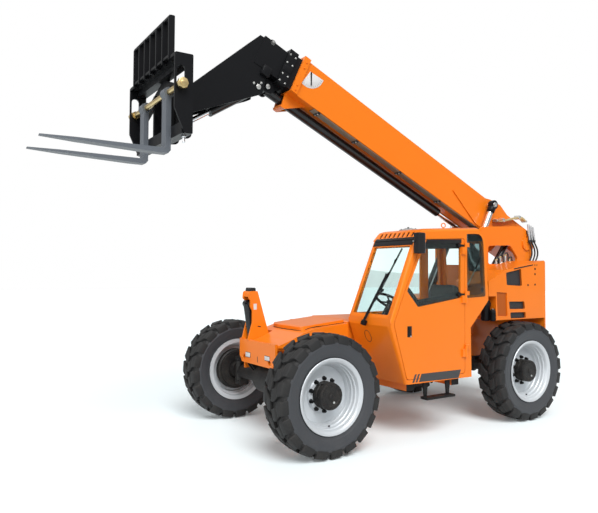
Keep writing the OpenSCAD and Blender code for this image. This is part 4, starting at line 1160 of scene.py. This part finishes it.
FAN_APEX = Vector((4.223, 0.250))
FAN_RADIUS = 0.205
FAN_FROM = math.radians(-76.0)
FAN_SWEEP = math.radians(-107.0)
FAN_STEPS = 24
FAN_MARKS = 12
PLUMB = Vector((-math.sin(BOOM_ANGLE), -math.cos(BOOM_ANGLE)))
NEEDLE_LENGTH = 0.150
NEEDLE_HALF = 0.009
EXTEND_PIN = Vector((4.600, 0.0, -0.192))
FORK_SHAFT = Vector((2.458, 0.0, 3.709))
TILT_PIN = Vector((1.297, 0.0, 4.026))
MOUTH_SIDE = 0.232
MOUTH_BOLTS = (0.300, 0.221, -0.020, -0.085)
MOUTH_TOP_BOLTS = (4.300, 4.345)
PIPE_CLAMPS = (0.85, 1.65, 2.45, 3.25, 3.90)
CLAMP_BOLTS = (0.1255, 0.1795)
HEAD_BOLTS = [(along, up) for along in (4.462, 4.540) for up in (0.275, 0.166, 0.010, -0.085)]
HEAD_TOP_BOLTS = (4.470, 4.530)
KEEPER = oblong(4.446, 0.050, 4.556, 0.130)
CARRIAGE_PIN = (2.372, 0.590)


def fan_point(turn, reach):
    angle = FAN_FROM + FAN_SWEEP * turn
    return FAN_APEX + Vector((math.cos(angle), math.sin(angle))) * reach


def dress_boom_fan():
    """Boom angle fan, with a pointer that hangs plumb."""
    bm = bmesh.new()
    arc = [fan_point(k / FAN_STEPS, FAN_RADIUS) for k in range(FAN_STEPS + 1)]
    plate(bm, [FAN_APEX] + arc, 0.003, BOOM @ at_side(BOOM_SIDE + 0.002), ease=0.0008)
    marks = BOOM @ at_side(BOOM_SIDE + 0.0026)
    for k in range(1, FAN_MARKS):
        a, b = fan_point(k / FAN_MARKS, FAN_RADIUS - 0.012), fan_point(k / FAN_MARKS, FAN_RADIUS - 0.034)
        side = Vector((a.y - b.y, b.x - a.x)).normalized() * 0.0012
        plate(bm, [a + side, a - side, b - side, b + side], 0.001, marks, ease=0.0, index=1)
    pin = FAN_APEX + PLUMB * 0.012 - Vector((0.010, 0.0))
    tip = pin + PLUMB * NEEDLE_LENGTH
    side = Vector((PLUMB.y, -PLUMB.x)) * NEEDLE_HALF
    needle = [pin + side, pin - side, tip - side * 0.8, tip + PLUMB * 0.010, tip + side * 0.8]
    plate(bm, needle, 0.005, BOOM @ at_side(BOOM_SIDE + 0.010), ease=0.001, index=2)
    rod(bm, (pin.x, BOOM_SIDE, pin.y), (pin.x, BOOM_SIDE + 0.014, pin.y), 0.008, place=BOOM, sides=20,
        ease=0.001, index=2)
    piece("boom_fan", bm, "boom", sleeve_white, band_grey, black_paint, slot="orange_paint")


def dress_boom_outside():
    """Pad bolts at the mouth and the clamps that hold the pipes."""
    bm = bmesh.new()
    for s in (1, -1):
        for up in MOUTH_BOLTS:
            bolt(bm, (4.322, s * MOUTH_SIDE, up), OUT * s, 0.018, place=BOOM)
        for along in MOUTH_TOP_BOLTS:
            bolt(bm, (along, s * 0.150, 0.370), UP, 0.020, place=BOOM)
    piece("mouth_bolts", bm, "boom", orange_paint, slot="orange_paint")
    bm = bmesh.new()
    for along in PIPE_CLAMPS:
        block(bm, (along - 0.020, 0.098, -0.148), (along + 0.020, 0.207, -0.1225), BOOM, ease=0.004)
        for y in CLAMP_BOLTS:
            bolt(bm, (along, y, -0.148), -UP, 0.012, place=BOOM, index=1)
    piece("pipe_clamps", bm, "boom", moulded_black, zinc_bright, slot="hose_rubber")


def dress_boom_heads():
    """Bolted pads, pins and keepers on the sliding sections."""
    bm = bmesh.new()
    for s in (1, -1):
        for along, up in HEAD_BOLTS:
            bolt(bm, (along, s * 0.206, up), OUT * s, 0.012, place=BOOM, index=1)
        for along in HEAD_TOP_BOLTS:
            foot = Vector((along, s * 0.120, 0.340))
            rod(bm, foot, foot + UP * 0.026, 0.016, place=BOOM, sides=6, ease=0.002)
        plate(bm, rounded(KEEPER, 0.010), 0.004, BOOM @ at_side(s * 0.208 + 0.002))
    for s in (1, -1):
        rod(bm, EXTEND_PIN + OUT * s * 0.088, EXTEND_PIN + OUT * s * 0.110, 0.030, place=BOOM, sides=40,
            ease=0.004, index=1)
    piece("mid_head_bolts", bm, "boom_middle", black_paint, zinc_bright, slot="black_paint")
    bm = bmesh.new()
    for s in (1, -1):
        roller = Vector((4.780, s * 0.150, 0.280))
        rod(bm, roller, roller + OUT * s * 0.014, 0.030, place=BOOM, sides=36, ease=0.004, index=1)
        rod(bm, roller, roller + OUT * s * 0.006, 0.042, place=BOOM, sides=36, ease=0.002)
        near, far = sorted((s * 0.158, s * 0.205))
        block(bm, (4.668, near, -0.150), (4.780, far, -0.028), BOOM, ease=0.012)
        head = TILT_PIN + OUT * s * 0.158
        rod(bm, head, head + OUT * s * 0.016, 0.031, sides=40, ease=0.005, index=1)
        for turn in (0.6, 2.2):
            at = head + Vector((math.cos(turn), 0.0, math.sin(turn))) * 0.068
            bolt(bm, at, OUT * s, 0.016, index=1)
    piece("nose_pins", bm, "boom_inner", black_paint, zinc_bright, slot="black_paint")


def dress_fork_shaft():
    """Nuts at the ends of the fork shaft, and the pins under the carriage."""
    bm = bmesh.new()
    for s in (1, -1):
        near, far = FORK_SHAFT + OUT * s * 0.740, FORK_SHAFT + OUT * s * 0.786
        rod(bm, near, far - OUT * s * 0.036, 0.050, sides=40, ease=0.003)
        rod(bm, near, far, 0.055, sides=8, ease=0.004)
        rod(bm, near, far + OUT * s * 0.006, 0.026, sides=32, ease=0.003)
    piece("shaft_nuts", bm, "fork_carriage", zinc_gold, slot="plated_steel")
    bm = bmesh.new()
    x, out = CARRIAGE_PIN
    for y in (out, -out):
        rod(bm, (x, y, 3.250), (x, y, 3.170), 0.014, ease=0.003)
        rod(bm, (x, y, 3.242), (x, y, 3.226), 0.024, sides=6, ease=0.002)
    piece("carriage_pins", bm, "fork_carriage", chrome_rod, slot="plated_steel")


dress_boom_fan()
dress_boom_outside()
dress_boom_heads()
dress_fork_shaft()


# Tail: hoses, pipes and cylinder eyes

HOSES = 3
HOSE_RADIUS = 0.012
PIPE_RADIUS = 0.0125
PIPE_BLOCKS = ((0.135, 0.355), (0.440, 0.150))
SILL = Vector((0.0, 0.420, 2.028))
SILL_FITTINGS = ((-2.480, 0.050), (-2.570, 0.090), (-2.680, 0.120), (-2.770, 0.060))
SILL_NUT = 0.024
LIFT_EYE = Vector((-2.550, 0.312, 2.900))
LIFT_FOOT = Vector((-1.550, 0.312, 1.054))


def hose_route(i):
    """The route of one tail hose, as the solid has it."""
    return [(-3.140 - 0.048 * i, 0.4516, 2.530 - 0.020 * i), (-3.142 - 0.048 * i, 0.478, 2.450),
            (-3.152 - 0.056 * i, 0.484, 2.370), (-3.196 - 0.066 * i, 0.486, 2.270),
            (-3.208 - 0.068 * i, 0.482, 2.180), (-3.170 - 0.066 * i, 0.478, 2.090),
            (-3.122 - 0.040 * i, 0.468, 1.960), (-3.060 - 0.014 * i, 0.4523, 1.820 - 0.040 * i)]


def smooth_path(points, steps):
    """Points along a curve through all of the points."""
    knots = [Vector(p) for p in points]
    knots = [knots[0]] + knots + [knots[-1]]
    out = []
    for a, b, c, d in zip(knots, knots[1:], knots[2:], knots[3:]):
        for k in range(steps):
            t = k / steps
            out.append(b + (c - a) * (0.5 * t) + (a - 2.5 * b + 2 * c - 0.5 * d) * t ** 2
                       + (1.5 * b - 1.5 * c + 0.5 * d - 0.5 * a) * t ** 3)
    return out + [knots[-1]]


def dress_tail_hoses():
    """The hoses, each a cord of its own, and the sleeves and end fittings on them."""
    for i in range(HOSES):
        path = smooth_path(hose_route(i), 5)
        bm = bmesh.new()
        tube(bm, path, HOSE_RADIUS)
        hose = piece("tail_hose_%d" % i, bm, "chassis", hose_black, slot="hose_rubber",
                     stands_for=() if i else ("tail_hoses",))
    bm = bmesh.new()
    for i in range(HOSES):
        route = [Vector(p) for p in hose_route(i)]
        top, low, foot = route[0], route[2], route[-1]
        rod(bm, top + Vector((0.0, 0.022, 0.105)), low + UP * 0.020, 0.0175, ease=0.002)
        rod(bm, low + UP * 0.030, low - UP * 0.006, 0.0195, ease=0.002, index=1)
        rod(bm, foot + Vector((-0.006, -0.004, 0.010)), foot + Vector((-0.024, 0.003, 0.060)), 0.018,
            ease=0.002, index=1)
        rod(bm, foot + Vector((0.0, -0.012, -0.004)), foot + Vector((-0.004, 0.002, 0.014)), 0.021, sides=6,
            ease=0.002, index=1)
    piece("hose_sleeves", bm, "chassis", sleeve_grey, hose_black, slot="hose_rubber")


def dress_tail_pipes():
    """Plated pipes over the boom's tail, with their end nuts and two holding blocks."""
    bm = bmesh.new()
    for i in range(3):
        y = 0.245 + 0.030 * i
        route = [(0.60, y, 0.10), (0.50, y, 0.13), (0.40, y, 0.20), (0.20, y, 0.345), (0.10, y, 0.405),
                 (-0.03, y, 0.40)]
        tube(bm, route, PIPE_RADIUS, BOOM, facets=4)
        for a, b in ((route[0], route[1]), (route[-1], route[-2])):
            a, b = Vector(a), Vector(b)
            rod(bm, a, a + (b - a).normalized() * 0.030, 0.019, place=BOOM, sides=6, ease=0.002, index=1)
    for x, z in PIPE_BLOCKS:
        block(bm, (x, 0.226, z), (x + 0.040, 0.325, z + 0.050), BOOM, ease=0.004, index=1)
    piece("tail_pipes", bm, "boom", zinc_gold, zinc_bright, slot="plated_steel")


def dress_sill_fittings():
    """Plated fittings on the tower's window sill, each with a short hose turned down behind it."""
    bm = bmesh.new()
    for x, tall in SILL_FITTINGS:
        foot = SILL + Vector((x, 0.0, 0.0))
        top = foot + UP * (SILL_NUT + tall)
        rod(bm, foot, foot + UP * SILL_NUT, 0.022, sides=6, ease=0.002)
        rod(bm, foot, top, 0.014, sides=20, ease=0.001)
        rod(bm, top - UP * 0.020, top, 0.018, sides=6, ease=0.002, index=1)
        bend = [top, top + Vector((-0.012, 0.0, 0.022)), top + Vector((-0.042, 0.0, 0.024)),
                Vector((x - 0.066, SILL.y, SILL.z + 0.4 * tall + 0.020)), Vector((x - 0.070, SILL.y, SILL.z))]
        tube(bm, bend, 0.010, index=2)
    piece("sill_fittings", bm, "chassis", zinc_bright, zinc_gold, hose_black, slot="plated_steel")


def dress_lift_eyes():
    """Sleeves, lock nuts, eyes and pin heads of the two lift rods."""
    bm = bmesh.new()
    along = (LIFT_FOOT - LIFT_EYE).normalized()
    for s in (1, -1):
        eye = Vector((LIFT_EYE.x, s * LIFT_EYE.y, LIFT_EYE.z))
        rod(bm, eye + along * 0.045, eye + along * 0.112, 0.056, sides=40, ease=0.005)
        rod(bm, eye + along * 0.108, eye + along * 0.140, 0.050, sides=6, ease=0.004)
        rod(bm, eye - OUT * 0.039, eye + OUT * 0.039, 0.066, sides=48, ease=0.005)
        rod(bm, eye + OUT * s * 0.036, eye + OUT * s * 0.056, 0.030, sides=32, ease=0.004, index=1)
    piece("lift_rod_eyes", bm, "lift_pistons", black_paint, zinc_bright, slot="black_paint")


dress_tail_hoses()
dress_tail_pipes()
dress_sill_fittings()
dress_lift_eyes()


# Rear covers

# Place, radius, foot and top of each filter
FILTERS = ((-1.695, 0.885, 0.058, 1.278, 1.577), (-1.712, 0.986, 0.038, 1.278, 1.437))
FILTER_FLUTES = 12
# Dark strip near the cover's top: painted shade in place of a slot
COVER_SLOT_SHADE = [(-2.123, 1.948), (-2.522, 2.006), (-2.522, 2.022), (-2.123, 1.964)]
COVER_TICKS = (-2.556, -2.600)
COVER_SCREWS = ((-2.565, 1.960), (-2.563, 1.890), (-2.411, 1.741), (-2.561, 1.747))


def dress_rear_covers():
    """Punched screens, a dark strip of painted shade that stands for the slot near the top, with its two
    ticks, and the screws.
    """
    softened("cover_meshes", punched_screen, slot="black_paint", width=0.001)
    bm = bmesh.new()
    face = at_side(COVER_OUT + 0.0012)
    # Painted shade: a flat dark strip standing for the slot's shaded inside
    plate(bm, COVER_SLOT_SHADE, 0.002, face, ease=0.0)
    for x in COVER_TICKS:
        plate(bm, [(x, 2.000), (x - 0.012, 2.002), (x - 0.012, 2.026), (x, 2.024)], 0.002, face, ease=0.0)
    for x, z in COVER_SCREWS:
        bolt(bm, (x, COVER_OUT, z), OUT, 0.015)
    piece("cover_marks", bm, "chassis", seal_black, slot="black_paint")


def dress_filters():
    """Spin-on filters under their heads."""
    bm = bmesh.new()
    for x, y, radius, low, top in FILTERS:
        place = Matrix.Translation((x, y, low))
        tall = top - low
        can = [(0.0, 0.0), (radius * 0.80, 0.002), (radius * 0.96, 0.016), (radius, 0.030),
               (radius, tall * 0.66), (radius * 1.03, tall * 0.67), (radius * 1.03, tall * 0.72),
               (radius * 0.93, tall * 0.74)]
        turned(bm, can, place, 48)
        head = [(radius * 0.93, tall * 0.74), (radius * 0.98, tall * 0.77), (radius * 0.98, tall * 0.86),
                (radius * 0.70, tall * 0.90), (radius * 0.66, tall), (0.0, tall)]
        turned(bm, head, place, 48, index=1)
        rod(bm, UP * tall * 0.98, UP * (tall + 0.002), radius * 0.34, place=place, sides=6, ease=0.002,
            index=2)
        for k in range(FILTER_FLUTES):
            turn = math.tau * k / FILTER_FLUTES
            way = Vector((math.cos(turn), math.sin(turn), 0.0)) * radius * 0.995
            rod(bm, way + UP * 0.020, way + UP * tall * 0.16, radius * 0.06, place=place, sides=8)
    block(bm, (-1.760, 0.850, 1.470), (-1.690, 0.920, 1.518), ease=0.005, index=1)
    block(bm, (-1.725, 0.890, 1.372), (-1.695, 0.990, 1.397), ease=0.004, index=1)
    piece("filters", bm, "chassis", black_paint, cast_black, zinc_bright, slot="black_paint",
          stands_for=("filter_canister",))


dress_rear_covers()
dress_filters()


# Front plate, sway post and hood

PLATE_FRONT = 1.2075
REFLECTORS = (oblong(-0.263, 0.886, -0.152, 0.938), oblong(0.197, 0.898, 0.305, 0.943))
FRONT_SLOT = oblong(0.018, 0.849, 0.032, 0.914)
POST_FACE = -0.1828
POST_LABEL = oblong(1.108, 1.446, 1.150, 1.516)
POST_MARK = [(1.052, 1.232), (1.094, 1.240), (1.092, 1.252), (1.050, 1.244)]
TIE_HOLES = (-0.300, 0.300)
LID_SEAM = [(0.205, 0.352, 1.2915), (0.450, 0.352, 1.2700), (0.700, 0.352, 1.2475), (0.752, 0.346, 1.2330),
            (0.790, 0.312, 1.2215), (0.802, 0.250, 1.2180)]


def dress_front():
    """Reflectors and blank label, rims of the tie-down holes, and the seal round the hood's lid."""
    bm = bmesh.new()
    face = at_front(PLATE_FRONT)
    for outline in REFLECTORS:
        lens = rounded(outline, 0.006)
        plate(bm, grown(lens, 0.005), 0.0035, face, ease=0.001, index=1)
        plate(bm, lens, 0.0060, face)
    plate(bm, FRONT_SLOT, 0.0012, face, ease=0.0, index=1)
    plate(bm, rounded(POST_LABEL, 0.004), 0.002, at_side(POST_FACE), ease=0.0)
    plate(bm, POST_MARK, 0.002, at_side(POST_FACE), ease=0.0, index=1)
    piece("front_reflectors", bm, "chassis", sleeve_white, seal_black, slot="plated_steel")
    bm = bmesh.new()
    for y in TIE_HOLES:
        ring(bm, 0.0335, 0.003, facing((PLATE_FRONT + 0.001, y, 0.880), (1.0, 0.0, 0.0)), 40)
    piece("front_plate_bolts", bm, "chassis", orange_paint, slot="orange_paint")
    bm = bmesh.new()
    tube(bm, LID_SEAM + [(x, -y, z) for x, y, z in reversed(LID_SEAM)], 0.005)
    piece("lid_seal", bm, "chassis", seal_black, slot="hose_rubber")


dress_front()
